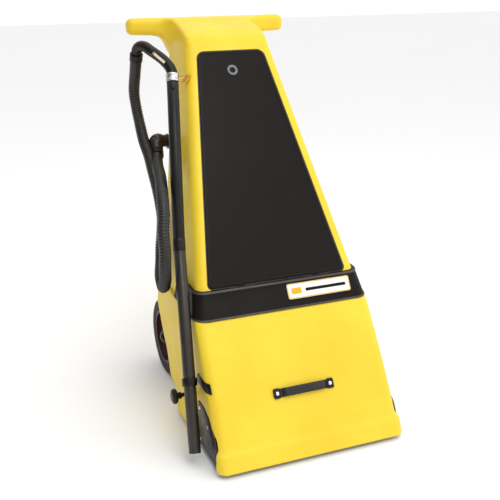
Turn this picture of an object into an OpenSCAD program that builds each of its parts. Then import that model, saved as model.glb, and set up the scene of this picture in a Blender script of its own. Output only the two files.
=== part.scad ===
// Upright wide-area carpet cleaner: moulded tower on a brush housing, with a wand and hose at its left side.
// Millimetres. Floor at z = 0, front towards -Y, left side towards -X, origin below the middle of the machine.

/* [Moulded body] */
// Width of the lower housing at its bottom edge
hood_w = 586; // [560:1:705]
// Width of the lower housing where it meets the tower
seam_w = 550; // [500:1:660]
// Width of the tower where it meets the lower housing
tower_low_w = 532; // [480:1:640]
// Width of the tower's neck
neck_w = 280; // [230:1:340]
// Height of the top of the handle above the floor
handle_z = 1155; // [960:1:1390]
// Height of the seam between the lower housing and the tower
seam_z = 372; // [350:1:400]
// Lean of the front face from upright, degrees
lean = 32.2; // [30:0.1:34]
// Length of the cross handle
handle_w = 540; // [450:1:650]
// Wall thickness of the tower
tower_wall = 8; // [6:0.5:10]
// Wall thickness of the lower housing
hood_wall = 6; // [4:0.5:8]

/* [Band and door] */
// Height of the dark band round the seam
band_h = 72; // [60:1:86]
// How far the band stands out from the tower
band_t = 9; // [7:0.5:11]
// Width of the door at its bottom edge
door_low_w = 434; // [360:1:440]
// Width of the door at its top edge
door_top_w = 212; // [170:1:216]
// Thickness of the door
door_t = 6; // [4:0.5:7]
// Radius of the door's hinge pins
hinge_r = 2; // [1.6:0.1:2.4]

/* [Brush] */
// Outer radius of the brush over its bristles
brush_r = 54; // [45:0.5:56]
// Radius of the brush core
core_r = 26; // [21:0.5:31]
// Radius of the brush's shaft ends
brush_shaft_r = 8; // [6:0.25:10]
// Rows of bristles on the brush
bristle_rows = 6; // [4:1:9]

/* [Wheels] */
// Radius of the rear wheels
wheel_r = 128; // [106:1:154]
// Width of a rear wheel
wheel_w = 48; // [40:1:58]
// Radius of the rear axle
axle_r = 8; // [6.5:0.25:10]

/* [Wand and hose] */
// Outer radius of the wand's tubes
wand_r = 17.5; // [14.5:0.25:21]
// Wall thickness of the wand's tubes
wand_wall = 1.5; // [1:0.25:2]
// Outer radius of the hose
hose_r = 18; // [15:0.5:20]
// Radius of the stem of a side knob
knob_stem_r = 6; // [5:0.25:7.5]

/* [Fits] */
// Radial clearance of a shaft that turns in its bore
running = 0.05; // [0.02:0.01:0.1]
// Gap between moving pieces that don't bear on each other
gap = 0.5; // [0.3:0.05:1]

/* [Hidden] */

arc_steps = 5;
smooth = 64;

crease_z = 60;
hood_low_z = 12;
rim_out = 7;
hood_proud = 8;
hood_bulge = 7;
front_r = 28;
rear_r = 42;
neck_z = handle_z - 75;
waist_z = seam_z + 0.6 * (neck_z - seam_z);
seam_front_y = -225;
depth_knots = [[seam_z, 375], [waist_z, 256], [neck_z, 215]];

brush_y = -335;
brush_z = brush_r + 2;
tunnel_r = brush_r + 8;
brush_len = 2 * floor(hood_half(brush_z + tunnel_r) - 20);
plate_x = hood_w / 2 - 9;
chassis_z = 90;
rail_x = 176;
rail_t = 6;
axle_y = 217;
wheel_x = hood_w / 2 - 91;
well_r = wheel_r + 12;
motor_y = -120;
motor_z = 150;
pulley_x = -205;
pulley_w = 14;
motor_pulley_r = 17;
motor_shaft_r = 6;
brush_pulley_r = 34;
fan_x = 108;
fan_y = -70;
fan_z = 250;
fan_r = 62;
floor_z = seam_z + 86;
duct_r = 26;
duct_foot = [0, -292, 104];
bag_low_z = floor_z + 40;
bag_top_z = neck_z - 130;
bag_gap = 30;

door_z = seam_z + 75;
door_len = (neck_z - 16 - door_z) / cos(lean);
seal_w = 5;
hinge_v = -6;
hinge_w = 4.5;
strap_z = 178;
strap_half = 94;
strap_flat = [160, 200];
switch_z = neck_z - 75;
inlet_z = switch_z - 100;
upper_hook_z = waist_z + 45;
lower_hook_z = seam_z + 240;
hook_stub_r = 5;
cover_z = seam_z + 152;
knob_at = [-(hood_w / 2 + 42), -193, 134];
bushing_x = floor(hood_half(knob_at[2]) - 13);

wand_foot_z = 39;
wand_joint_z = 563;
collar_z = handle_z - 154;
wand_foot = [-(hood_half(wand_foot_z) + 25 + wand_r), -355, wand_foot_z];
wand_joint = [-(tower_half(wand_joint_z) + 27.5 + wand_r), tower_front(wand_joint_z) + 10, wand_joint_z];
wand_top = [-(tower_half(collar_z) + 43.5 + wand_r), tower_front(collar_z) - 46, collar_z];
lower_axis = (wand_joint - wand_foot) / norm(wand_joint - wand_foot);
upper_axis = (wand_top - wand_joint) / norm(wand_top - wand_joint);
lower_len = norm(wand_joint - wand_foot);
upper_len = norm(wand_top - wand_joint);
tip_len = 27;
clip_at = wand_foot + lower_axis * 197;

// Centre line of the rigid hand tube, from the collar to the hose's cuff
hand_line = [
    wand_top + [2, 9, 18], wand_top + [-1, 20, 34], wand_top + [-44, 78, 78],
    wand_top + [-58, 102, 88], wand_top + [-68, 128, 80], wand_top + [-70, 143, 58]
];
hand_r = wand_r - 1.5;
slider_axis = (hand_line[2] - hand_line[1]) / norm(hand_line[2] - hand_line[1]);
slider_out = [-0.56, -0.73, 0.39];

hose_sides = 12;
// Route of the hose's centre line, from the hand tube down, round and up to the elbow
hose_route = [for (p = [
    [-285, 270, 1050], [-285, 295, 995], [-285, 315, 940], [-280, 315, 890], [-275, 300, 840],
    [-275, 260, 795], [-275, 205, 760], [-275, 165, 715], [-270, 145, 670], [-265, 135, 625],
    [-260, 135, 575], [-265, 130, 525], [-275, 110, 485], [-285, 80, 450], [-300, 35, 425],
    [-310, -20, 415], [-325, -90, 440], [-330, -125, 475], [-335, -145, 520], [-335, -150, 570],
    [-335, -140, 620], [-325, -115, 660], [-315, -75, 690], [-300, -15, 710], [-280, 65, 725],
    [-265, 145, 740], [-245, 225, 765]
]) beside(p)];
elbow_at = beside([-236, 250, 790]);

// Outline of the moulded body ---------------------------------------------------------------------

// Front of the tower at height z
function tower_front(z) = seam_front_y + (z - seam_z) * tan(lean);
// Rear of the tower at height z
function tower_rear(z) = tower_front(z) + lookup(z, depth_knots);
// Half the tower's width at height z
function tower_half(z) = (tower_low_w + (neck_w - tower_low_w) * (z - seam_z) / (neck_z - seam_z)) / 2;
// Front of the lower housing at height z, slightly convex
function hood_front(z) =
    let (t = (z - crease_z) / (seam_z - crease_z))
    tower_front(z) - hood_proud - 4 * hood_bulge * t * (1 - t);
// Half the lower housing's width at height z
function hood_half(z) =
    let (low = hood_w / 2 - rim_out)
    low + (seam_w / 2 - low) * (z - hood_low_z) / (seam_z - hood_low_z);

// Points of a rounded rectangle from x0 to x1 and y0 to y1, counter-clockwise
function corner(x, y, r, a) = [
    for (i = [0:arc_steps]) let (b = a + 90 * i / arc_steps) [x + r * cos(b), y + r * sin(b)]
];
function ring(x0, x1, y0, y1, rf, rr) = concat(
    corner(x1 - rr, y1 - rr, rr, 0),
    corner(x0 + rr, y1 - rr, rr, 90),
    corner(x0 + rf, y0 + rf, rf, 180),
    corner(x1 - rf, y0 + rf, rf, 270)
);
// A section of the tower or of the lower housing at height z, moved in by t
function tower_ring(z, t) = ring(
    -tower_half(z) + t, tower_half(z) - t, tower_front(z) + t, tower_rear(z) - t,
    front_r - t, rear_r - t);
function hood_ring(z, t, rear, out = 0) = ring(
    -hood_half(z) + t - out, hood_half(z) - t + out, hood_front(z) + t - out, rear - t,
    front_r - t, rear_r - t);
// Moves a point drawn beside a tower of the usual size to the same place beside this one
function beside(p) =
    let (
        usual_seam = 372,
        usual_top = 1155,
        usual_collar = 1001,
        share = min(1, (p[2] - usual_seam) / (usual_collar - usual_seam)),
        z = p[2] + share * (handle_z - usual_top) + (1 - share) * (seam_z - usual_seam),
        usual_half = 266 - (p[2] - usual_seam) * 126 / 708
    )
    [p[0] + usual_half - tower_half(z), p[1] + (z - p[2]) * tan(lean), z];
function lift(points, z) = [for (p = points) [p[0], p[1], z]];

// Closed solid through rings of equally many points, from the lowest ring to the highest
module skin(rings) {
    n = len(rings[0]);
    last = len(rings) - 1;
    sides = [
        for (k = [0:last - 1], i = [0:n - 1])
            let (a = k * n + i, b = k * n + (i + 1) % n)
            each [[a, a + n, b + n], [a, b + n, b]]
    ];
    bottom = [for (i = [0:n - 1]) i];
    top = [for (i = [n - 1:-1:0]) last * n + i];
    polyhedron(points = [for (r = rings) each r], faces = concat(sides, [bottom, top]), convexity = 8);
}

// A round bar of n sides and radius r along a line of points
module sweep(line, r, n) {
    last = len(line) - 1;
    skin([
        for (i = [0:last])
            let (
                run = line[min(i + 1, last)] - line[max(i - 1, 0)],
                t = run / norm(run),
                side = [1, 0, 0] - t * t[0],
                u = side / norm(side),
                w = cross(t, u)
            )
            [for (k = [0:n - 1]) line[i] + r * (u * cos(360 * k / n) + w * sin(360 * k / n))]
    ]);
}

// The tower from its foot to its crown; t is how far the surface moves in
module tower_body(t, foot) {
    body_z = [foot, floor_z, seam_z + 200, waist_z, waist_z + 120, neck_z - 30, neck_z];
    crown = [[14, 0, 4], [30, 14, 6], [45, 48, 8], [57, 92, 11], [68, 140, 15], [74, 165, 22]];
    neck_rear = tower_rear(neck_z);
    skin(concat(
        [for (z = body_z) lift(tower_ring(z, t), z)],
        [
            for (c = crown)
                let (z = neck_z + c[0], half = neck_w / 2 - c[2], front = tower_front(neck_z) + 9 + c[1])
                lift(ring(-half + t, half - t, front + t, neck_rear + 24 - c[2] / 2 - t, 18 - t, 26 - t), z - t)
        ]
    ));
}

// The cross handle: a rounded bar with fillets where it leaves the neck
module cross_handle() {
    rear = tower_rear(neck_z) + 25;
    half = handle_w / 2;
    root_x = neck_w / 2;
    // distance from the bar's end or from the neck, underside above the neck line, front edge, corner radius
    stations = [
        [-half, 33, 12, 8], [-half + 4, 27, 5, 14], [-half + 12, 23, 0, 18],
        [-root_x - 50, 20, 0, 18], [-root_x - 26, 15, -2, 18], [-root_x - 12, 4, -9, 18],
        [-root_x - 3, -14, -22, 18], [-root_x + 8, -40, -46, 18]
    ];
    mirrored = [for (i = [len(stations) - 1:-1:0]) let (s = stations[i]) [-s[0], s[1], s[2], s[3]]];
    rotate([0, 90, 0])
        skin([
            for (s = concat(stations, mirrored))
                let (edge = max(0, s[2]))
                lift(ring(-handle_z + edge, -neck_z - s[1], rear - 48 + s[2], rear - edge, s[3], s[3]), s[0])
        ]);
}

// The lower housing's outer surface moved in by t, open through its bottom when t is more than 0
module hood_body(t) {
    open = t > 0 ? 1 : 0;
    seam_rear = tower_rear(seam_z);
    // height above the floor and rear edge, from the rim up over the wheel cut-away and the rear bulge
    rear_line = [
        [96, 60], [112, 68], [160, 96], [200, 135], [256, 178], [285, 200], [315, 196], [345, seam_rear + 22]
    ];
    skin(concat(
        [
            lift(hood_ring(hood_low_z + 5, t, -45, rim_out), hood_low_z - 2 * open),
            lift(hood_ring(hood_low_z + 42, t, -32, rim_out), crease_z - 6),
            lift(hood_ring(crease_z, t, -30, rim_out - 2), crease_z),
            lift(hood_ring(crease_z + 6, t, -28, 1), crease_z + 6),
            lift(hood_ring(crease_z + 12, t, -26), crease_z + 12 + t),
            lift(hood_ring(crease_z + 24, t, 54), crease_z + 24 + t)
        ],
        [for (p = rear_line) lift(hood_ring(p[0], t, p[1]), p[0] + (p[0] < 100 ? t : 0))],
        [lift(hood_ring(seam_z, t, seam_rear), seam_z - t)]
    ));
}

// Places children on the tower's front face: X to the right, Y up the slope, Z outwards
module on_front(z) {
    translate([0, tower_front(z), z]) rotate([90 - lean, 0, 0]) children();
}
// Places children on the tower's rear face at height z: X to the right, Y down the slope, Z outwards
module on_rear(z, half_span) {
    rear_lean = atan((tower_rear(z + half_span) - tower_rear(z - half_span)) / (2 * half_span));
    translate([0, (tower_rear(z + half_span) + tower_rear(z - half_span)) / 2, z])
        rotate([-90 - rear_lean, 0, 0]) children();
}
// Places children at point p with their Z axis along direction v
module along(p, v) {
    translate(p) rotate([0, acos(v[2] / norm(v)), atan2(v[1], v[0])]) children();
}
// A cylinder along X
module x_rod(r, x0, x1, y, z) {
    translate([x0, y, z]) rotate([0, 90, 0]) cylinder(r = r, h = x1 - x0, $fn = smooth);
}
// A tube along X
module x_tube(r, bore, x0, x1, y, z) {
    difference() {
        x_rod(r, x0, x1, y, z);
        x_rod(bore, x0 - 1, x1 + 1, y, z);
    }
}
// Both sides of the machine: children as drawn, and mirrored across the middle
module both_sides() {
    children();
    mirror([1, 0, 0]) children();
}
// A plate with round corners, standing on z = 0
module round_plate(w, h, r, t) {
    linear_extrude(t) polygon(ring(-w / 2, w / 2, -h / 2, h / 2, r, r));
}
// The door's outline, grown by g all round
module door_outline(g) {
    top_r = 22;
    low_r = 12;
    hull() {
        for (s = [-1, 1]) {
            translate([s * (door_low_w / 2 - low_r), low_r]) circle(r = low_r + g, $fn = 32);
            translate([s * (door_top_w / 2 - top_r), door_len - top_r]) circle(r = top_r + g, $fn = 32);
        }
    }
}

// Moulded shells ----------------------------------------------------------------------------------

module tower_shell() {
    color([0.93, 0.80, 0.24])
    difference() {
        union() {
            tower_body(0, seam_z);
            cross_handle();
        }
        tower_body(tower_wall, seam_z - 1);
        on_front(door_z) {
            translate([0, 0, door_t - 1 - 3 * tower_wall])
                linear_extrude(3 * tower_wall) door_outline(-14);
            translate([0, 0, -door_t]) linear_extrude(2 * door_t + 40) door_outline(seal_w + 0.2);
            hinge_pockets(20);
        }
        on_rear(switch_z, 30) translate([0, 0, -20]) linear_extrude(40) square([104, 54], center = true);
        on_rear(inlet_z, 30) translate([0, 0, -20]) cylinder(r = 23, h = 40, $fn = smooth);
        on_rear(cover_z, 40) translate([0, 0, -20]) linear_extrude(40) square([200, 96], center = true);
        on_rear(upper_hook_z, 20) cylinder(r = hook_stub_r + running, h = 60, center = true, $fn = smooth);
        hose_port_hole();
    }
}

module lower_housing() {
    side_cut = [[-432, 0], [-426, 46], [-399, 94], [-346, 136.5], [-300, 148.5], [-258, 148.5], [-258, 0]];
    color([0.92, 0.78, 0.23])
    difference() {
        hood_body(0);
        hood_body(hood_wall);
        translate([-180, -165, seam_z - 20]) cube([360, 250, 40]);
        both_sides() {
            translate([hood_half(side_cut[3][1]) - hood_wall - 2, 0, 0])
                rotate([90, 0, 90]) linear_extrude(70) polygon(side_cut);
            x_rod(well_r, wheel_x - 8, wheel_x + wheel_w + 12, axle_y, wheel_r);
            translate([rail_x - 2, -20, chassis_z - 5]) cube([rail_t + 4, 300, wheel_r - chassis_z + 50]);
            x_rod(knob_stem_r + 5, hood_w / 2 - 40, hood_w / 2 + 20, knob_at[1], knob_at[2]);
        }
    }
}

module belt_band() {
    lip_h = 6;
    lip_t = 2;
    top_z = seam_z + band_h;
    lips = [
        [0, -lip_t + 1.5], [1.5, -lip_t], [lip_h - 1.5, -lip_t], [lip_h, 0],
        [band_h - lip_h, 0], [band_h - lip_h + 1.5, -lip_t], [band_h - 1.5, -lip_t], [band_h, -lip_t + 1.5]
    ];
    color([0.20, 0.17, 0.15])
    difference() {
        skin([for (s = lips) lift(tower_ring(seam_z + s[0], s[1] - band_t), seam_z + s[0])]);
        skin([for (z = [seam_z - 1, top_z + 1]) lift(tower_ring(z, -running), z)]);
        translate([-400, -20, 300]) cube([800, 600, 300]);
        on_front(door_z) hinge_pockets(hinge_w + 4.5);
    }
}

// Pockets behind the band's upper lip for the door's hinges, up to w in front of the tower
module hinge_pockets(w) {
    for (s = [-1, 1])
        translate([s * 120 - 40, -14, -7]) cube([80, 18, w + 7]);
}

module rear_service_cover() {
    color([0.14, 0.13, 0.13])
    on_rear(cover_z, 40) translate([0, 0, 1.5])
    difference() {
        round_plate(230, 124, 10, 4);
        for (i = [0:7]) translate([-70, -42 + 12 * i, -1]) cube([140, 5, 8]);
    }
}

module exhaust_filter() {
    color([0.75, 0.75, 0.72])
    on_rear(cover_z, 40) translate([-90, -44, -34]) cube([180, 88, 30]);
}

module case_screws() {
    color([0.80, 0.80, 0.82]) {
        both_sides() {
            x_rod(6, plate_x + 0.5, plate_x + 4, -340, 103);
            x_rod(6, plate_x + 0.5, plate_x + 4, -275, 130);
            x_rod(6, plate_x + 0.5, plate_x + 4, -275, 30);
        }
        for (sx = [-1, 1], sy = [-1, 1])
            on_rear(cover_z, 40) translate([sx * 105, sy * 52, 5.5]) cylinder(r = 5, h = 3, $fn = 32);
        for (s = [-1, 1])
            on_strap() translate([s * (strap_half - 11), 0, 6]) cylinder(r = 5, h = 2.5, $fn = 32);
    }
}

// Frame, brush and drive --------------------------------------------------------------------------

module base_chassis() {
    rail_y = brush_y + tunnel_r + 6;
    color([0.35, 0.36, 0.38])
    difference() {
        union() {
            translate([-rail_x, rail_y, chassis_z]) cube([2 * rail_x, 40 - rail_y, 4]);
            both_sides() {
                translate([rail_x, rail_y, chassis_z])
                    cube([rail_t, axle_y + 26 - rail_y, wheel_r - chassis_z + 36]);
                x_rod(axle_r + 8, rail_x - 6, rail_x, axle_y, wheel_r);
            }
        }
        x_rod(axle_r, -rail_x - 20, rail_x + 20, axle_y, wheel_r);
        x_rod(motor_shaft_r + 6, -rail_x - 20, -rail_x + 20, motor_y, motor_z);
        along(duct_foot, [0, sin(lean), cos(lean)])
            cylinder(r = duct_r + 1, h = 200, center = true, $fn = smooth);
    }
}

module brush_tunnel() {
    half = brush_len / 2 + 2;
    color([0.40, 0.41, 0.43])
    difference() {
        x_rod(tunnel_r + 5, -half, half, brush_y, brush_z);
        x_rod(tunnel_r, -half - 1, half + 1, brush_y, brush_z);
        translate([-half - 1, brush_y - 100, -60]) cube([2 * half + 2, 200, 60 + hood_low_z]);
        along(duct_foot, [0, sin(lean), cos(lean)]) cylinder(r = duct_r, h = 60, center = true, $fn = smooth);
        translate([pulley_x - pulley_w / 2 - 6, brush_y, brush_z - 24]) cube([pulley_w + 12, 120, 144]);
    }
}

// The plate that closes the brush's end, on the right side
module side_plate() {
    outline = [
        [-430, hood_low_z], [-424, 46], [-397, 92], [-345, 134], [-300, 146], [-260, 146], [-260, hood_low_z]
    ];
    color([0.24, 0.18, 0.24])
    difference() {
        translate([plate_x - 3.5, 0, 0]) rotate([90, 0, 90]) linear_extrude(4) polygon(outline);
        x_rod(brush_shaft_r + 2, plate_x - 10, plate_x - 2, brush_y, brush_z);
    }
}

module floor_glides() {
    color([0.70, 0.70, 0.72])
    both_sides() translate([plate_x - 14, brush_y - 72, 0]) cube([16, 150, hood_low_z]);
}

module brush_core() {
    half = brush_len / 2;
    color([0.15, 0.15, 0.16]) {
        x_rod(core_r, -half + 2, half - 2, brush_y, brush_z);
        x_rod(brush_shaft_r, -half - 14, half + 14, brush_y, brush_z);
    }
}

module brush_bristles() {
    root_r = core_r - 1;
    half = brush_len / 2;
    color([0.10, 0.10, 0.12])
    difference() {
        translate([0, brush_y, brush_z])
            for (i = [0:bristle_rows - 1])
                rotate([360 * i / bristle_rows, 0, 0])
                    translate([-half + 30, -3, root_r]) cube([2 * half - 40, 6, brush_r - root_r - 0.5]);
        x_rod(core_r, -half, half, brush_y, brush_z);
        x_rod(brush_r + 4, pulley_x - pulley_w, pulley_x + pulley_w, brush_y, brush_z);
    }
}

module brush_bearings() {
    half = brush_len / 2;
    color([0.62, 0.63, 0.65])
    both_sides() x_tube(20, brush_shaft_r + running, half + 3, plate_x - 3.5, brush_y, brush_z);
}

module brush_pulley() {
    color([0.55, 0.56, 0.58])
        x_tube(brush_pulley_r, core_r, pulley_x - pulley_w / 2, pulley_x + pulley_w / 2, brush_y, brush_z);
}

module motor_pulley() {
    color([0.60, 0.61, 0.63]) {
        x_rod(motor_pulley_r, pulley_x - pulley_w / 2, pulley_x + pulley_w / 2, motor_y, motor_z);
        x_rod(motor_shaft_r, pulley_x, -148, motor_y, motor_z);
    }
}

// Outline of the drive belt's run, grown by g, in the plane across the axles
module belt_run(g) {
    hull() {
        translate([brush_y, brush_z]) circle(r = brush_pulley_r + g, $fn = 48);
        translate([motor_y, motor_z]) circle(r = motor_pulley_r + g, $fn = 48);
    }
}

module drive_belt() {
    color([0.06, 0.06, 0.06])
    translate([pulley_x - 5, 0, 0]) rotate([90, 0, 90])
    linear_extrude(10)
    difference() {
        belt_run(gap + 3);
        belt_run(gap);
    }
}

module brush_motor() {
    color([0.30, 0.32, 0.34])
    difference() {
        union() {
            x_rod(48, -170, -40, motor_y, motor_z);
            translate([-170, motor_y - 35, chassis_z + 4]) cube([120, 70, 30]);
        }
        x_rod(motor_shaft_r + running, -190, -146, motor_y, motor_z);
    }
}

module vacuum_motor() {
    color([0.32, 0.34, 0.37])
    translate([fan_x, fan_y, 0])
    difference() {
        union() {
            translate([0, 0, chassis_z + 4]) cylinder(r = 52, h = fan_z - chassis_z - 4, $fn = smooth);
            translate([0, 0, fan_z]) cylinder(r = fan_r + 12, h = 56, $fn = smooth);
        }
        translate([0, 0, fan_z + 6]) cylinder(r = fan_r + 6, h = 44, $fn = smooth);
        translate([0, 0, fan_z + 40]) cylinder(r = 30, h = 30, $fn = smooth);
        translate([0, 0, fan_z - 40]) cylinder(r = 6 + running, h = 60, $fn = smooth);
    }
}

module fan_impeller() {
    blades = 8;
    color([0.72, 0.73, 0.75])
    translate([fan_x, fan_y, fan_z]) {
        translate([0, 0, -38]) cylinder(r = 6, h = 50, $fn = smooth);
        translate([0, 0, 12]) cylinder(r = fan_r, h = 3, $fn = smooth);
        for (i = [0:blades - 1])
            rotate([0, 0, 360 * i / blades]) translate([12, -1.5, 14]) cube([fan_r - 14, 3, 24]);
    }
}

// Air path and dust bag ---------------------------------------------------------------------------

module suction_duct() {
    rise = (floor_z + 34 - duct_foot[2]) / cos(lean);
    color([0.16, 0.16, 0.17])
    along(duct_foot, [0, sin(lean), cos(lean)])
    difference() {
        translate([0, 0, -2]) cylinder(r = duct_r, h = rise, $fn = smooth);
        translate([0, 0, -5]) cylinder(r = duct_r - 3, h = rise + 10, $fn = smooth);
    }
}

module bag_chamber_floor() {
    color([0.22, 0.22, 0.24])
    difference() {
        translate([0, 0, floor_z])
            linear_extrude(5)
            polygon(ring(-tower_half(floor_z + 5) + tower_wall + 1, tower_half(floor_z + 5) - tower_wall - 1,
                tower_front(floor_z + 5) + tower_wall + 10, tower_rear(floor_z) - tower_wall - 1, 24, rear_r - 8));
        along(duct_foot, [0, sin(lean), cos(lean)]) cylinder(r = duct_r, h = 600, $fn = smooth);
        translate([fan_x, fan_y + 90, floor_z - 1]) cylinder(r = 40, h = 10, $fn = smooth);
    }
}

module bag_holder() {
    along(duct_foot, [0, sin(lean), cos(lean)])
    translate([0, 0, (floor_z + 26 - duct_foot[2]) / cos(lean)])
    color([0.20, 0.20, 0.22])
    difference() {
        cylinder(r = duct_r + 9, h = 8, $fn = smooth);
        translate([0, 0, -1]) cylinder(r = duct_r, h = 10, $fn = smooth);
    }
}

module bag_hook() {
    y = tower_rear(bag_top_z) - 70;
    rear = tower_rear(bag_top_z + 26) - tower_wall - 0.5;
    color([0.70, 0.71, 0.73]) {
        translate([-12, y - 6, bag_top_z + 24]) cube([24, rear - y, 4]);
        translate([-12, y - 10, bag_top_z + 12]) cube([24, 4, 16]);
    }
}

module dust_bag() {
    steps = [0, 0.06, 0.2, 0.45, 0.7, 0.88, 0.96, 1];
    fill = [0.5, 0.86, 1, 1, 1, 0.9, 0.7, 0.4];
    color([0.62, 0.60, 0.56])
    skin([
        for (i = [0:len(steps) - 1])
            let (
                z = bag_low_z + steps[i] * (bag_top_z - bag_low_z),
                deep = (tower_rear(z) - tower_front(z)) * 0.22,
                middle = tower_rear(z) - tower_wall - bag_gap - deep,
                wide = tower_half(z) - 44,
                f = fill[i],
                r = 0.8 * deep * f
            )
            lift(ring(-wide * f, wide * f, middle - deep * f, middle + deep * f, r, r), z)
    ]);
}

// Wheels ------------------------------------------------------------------------------------------

module axle() {
    color([0.66, 0.67, 0.69])
        x_rod(axle_r, -wheel_x - wheel_w - 8, wheel_x + wheel_w + 8, axle_y, wheel_r);
}

module axle_clips() {
    color([0.72, 0.72, 0.74])
    both_sides() {
        x_tube(axle_r + 6, axle_r, rail_x + rail_t, wheel_x - gap, axle_y, wheel_r);
        x_tube(axle_r + 6, axle_r, wheel_x + wheel_w + gap, wheel_x + wheel_w + 4, axle_y, wheel_r);
    }
}

// Tyre of the right wheel, with rounded shoulders
module tyre() {
    hub_r = 0.7 * wheel_r;
    shoulder = 9;
    color([0.10, 0.07, 0.07])
    translate([wheel_x + wheel_w / 2, axle_y, wheel_r]) rotate([0, 90, 0])
    rotate_extrude($fn = 96) {
        translate([hub_r, -wheel_w / 2]) square([wheel_r - hub_r - shoulder, wheel_w]);
        translate([hub_r, -wheel_w / 2 + shoulder]) square([wheel_r - hub_r, wheel_w - 2 * shoulder]);
        for (s = [-1, 1])
            translate([wheel_r - shoulder, s * (wheel_w / 2 - shoulder)]) circle(r = shoulder, $fn = 32);
    }
}

// Hub of the right wheel: a web between a rim and a bearing boss
module wheel_hub() {
    hub_r = 0.7 * wheel_r;
    color([0.16, 0.06, 0.07])
    difference() {
        union() {
            x_tube(hub_r, hub_r - 8, wheel_x + 2, wheel_x + wheel_w - 2, axle_y, wheel_r);
            x_rod(hub_r - 4, wheel_x + 18, wheel_x + 26, axle_y, wheel_r);
            x_rod(axle_r + 12, wheel_x, wheel_x + wheel_w, axle_y, wheel_r);
        }
        x_rod(axle_r + running, wheel_x - 1, wheel_x + wheel_w + 1, axle_y, wheel_r);
    }
}

// Side knobs --------------------------------------------------------------------------------------

module knob_bushings() {
    color([0.12, 0.12, 0.13])
    both_sides()
        x_tube(knob_stem_r + 5, knob_stem_r + running, bushing_x, bushing_x + 18, knob_at[1], knob_at[2]);
}

// Knob on the right side: a stem, a neck and a domed head
module side_knob() {
    r = 23;
    far = -knob_at[0] + 11;
    color([0.13, 0.11, 0.11])
    translate([0, knob_at[1], knob_at[2]]) rotate([0, 90, 0])
    rotate_extrude($fn = smooth) {
        translate([0, bushing_x - 2]) square([knob_stem_r, far - bushing_x - 4]);
        translate([0, far - 32]) square([knob_stem_r + 4, 14]);
        translate([0, far - 19]) square([r - 3, 14]);
        translate([0, far - 16]) square([r, 8]);
        translate([0, far - 8]) square([r - 7, 6]);
    }
}

// Door, band trim and strap -----------------------------------------------------------------------

module front_door() {
    lug_w = 20;
    color([0.15, 0.13, 0.12])
    on_front(door_z)
    difference() {
        union() {
            translate([0, 0, -door_t + 1.2]) linear_extrude(door_t) door_outline(0);
            for (s = [-1, 1]) {
                translate([s * 120 - lug_w / 2, hinge_v, -3.5]) cube([lug_w, 16 - hinge_v, 4.5]);
                x_rod(hinge_r + 2, s * 120 - lug_w / 2, s * 120 + lug_w / 2, hinge_v, hinge_w);
                translate([s * 120 - lug_w / 2, hinge_v - 3, -3.5]) cube([lug_w, 5, hinge_w + 3.5]);
            }
        }
        for (s = [-1, 1])
            x_rod(hinge_r + running, s * 120 - lug_w, s * 120 + lug_w, hinge_v, hinge_w);
    }
}

module door_hinge_pins() {
    color([0.72, 0.72, 0.74])
    on_front(door_z)
    for (s = [-1, 1]) {
        x_rod(hinge_r, s * 120 - 39.5, s * 120 + 39.5, hinge_v, hinge_w);
        for (e = [-1, 1])
            translate([s * 120 + e * 30 - 9, hinge_v - 4, -1]) cube([18, 6, hinge_w]);
    }
}

module door_seal() {
    color([0.08, 0.08, 0.08])
    on_front(door_z) translate([0, 0, -door_t + 1])
    difference() {
        linear_extrude(door_t - 1.2) door_outline(seal_w);
        translate([0, 0, -1]) linear_extrude(door_t + 2) door_outline(0.8);
        translate([-160, -40, -1]) cube([80, 60, 20]);
        translate([80, -40, -1]) cube([80, 60, 20]);
    }
}

module door_badge() {
    color([0.62, 0.62, 0.64])
    on_front(door_z) translate([-6, door_len - 62, 1.2])
    difference() {
        cylinder(r = 17, h = 1.6, $fn = smooth);
        translate([0, 0, -1]) cylinder(r = 9, h = 4, $fn = smooth);
    }
}

module name_plate() {
    w = 205;
    h = 46;
    color([0.93, 0.92, 0.88])
    on_front(seam_z + 6) translate([118, band_h / 2 / cos(lean) - 5, band_t]) round_plate(w, h, 6, 1.6);
}

// Places children on the flat of the lower housing's front where the strap is fixed
module on_strap() {
    low = hood_front(strap_flat[0]);
    rise = strap_flat[1] - strap_flat[0];
    slope = (hood_front(strap_flat[1]) - low) / rise;
    translate([0, low + slope * (strap_z - strap_flat[0]), strap_z]) rotate([90 - atan(slope), 0, 0])
        translate([0, 0, running]) children();
}

module lift_strap() {
    half = strap_half - 12;
    rise = 13;
    t = 3;
    w = 25;
    color([0.07, 0.07, 0.07])
    on_strap() translate([0, -w / 2, 0.5]) rotate([90, 0, 0]) mirror([0, 0, 1])
    linear_extrude(w)
    polygon([
        [-half - 8, 1], [-half + 14, 1], [-half + 26, rise - t],
        [half - 26, rise - t], [half - 14, 1], [half + 8, 1],
        [half + 8, 1 + t], [half - 12, 1 + t], [half - 23, rise],
        [-half + 23, rise], [-half + 12, 1 + t], [-half - 8, 1 + t]
    ]);
}

module strap_end_caps() {
    w = 29;
    color([0.10, 0.10, 0.10])
    on_strap()
    for (s = [-1, 1])
        translate([s * (strap_half - 11) - 11, -w / 2, 0])
        difference() {
            cube([22, w, 6]);
            translate([-30, 2, 1.5]) cube([80, w - 4, 3.2]);
        }
}

// Controls and power ------------------------------------------------------------------------------

module switch_panel() {
    color([0.11, 0.11, 0.12])
    on_rear(switch_z, 30)
    difference() {
        union() {
            round_plate(120, 70, 8, 4);
            translate([0, 0, -14]) linear_extrude(14) square([100, 50], center = true);
        }
        for (x = [-32, 0]) translate([x - 10.5, -15.5, -10]) cube([21, 31, 30]);
        translate([34, 0, -10]) cylinder(r = 8.5, h = 30, $fn = smooth);
    }
}

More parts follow.
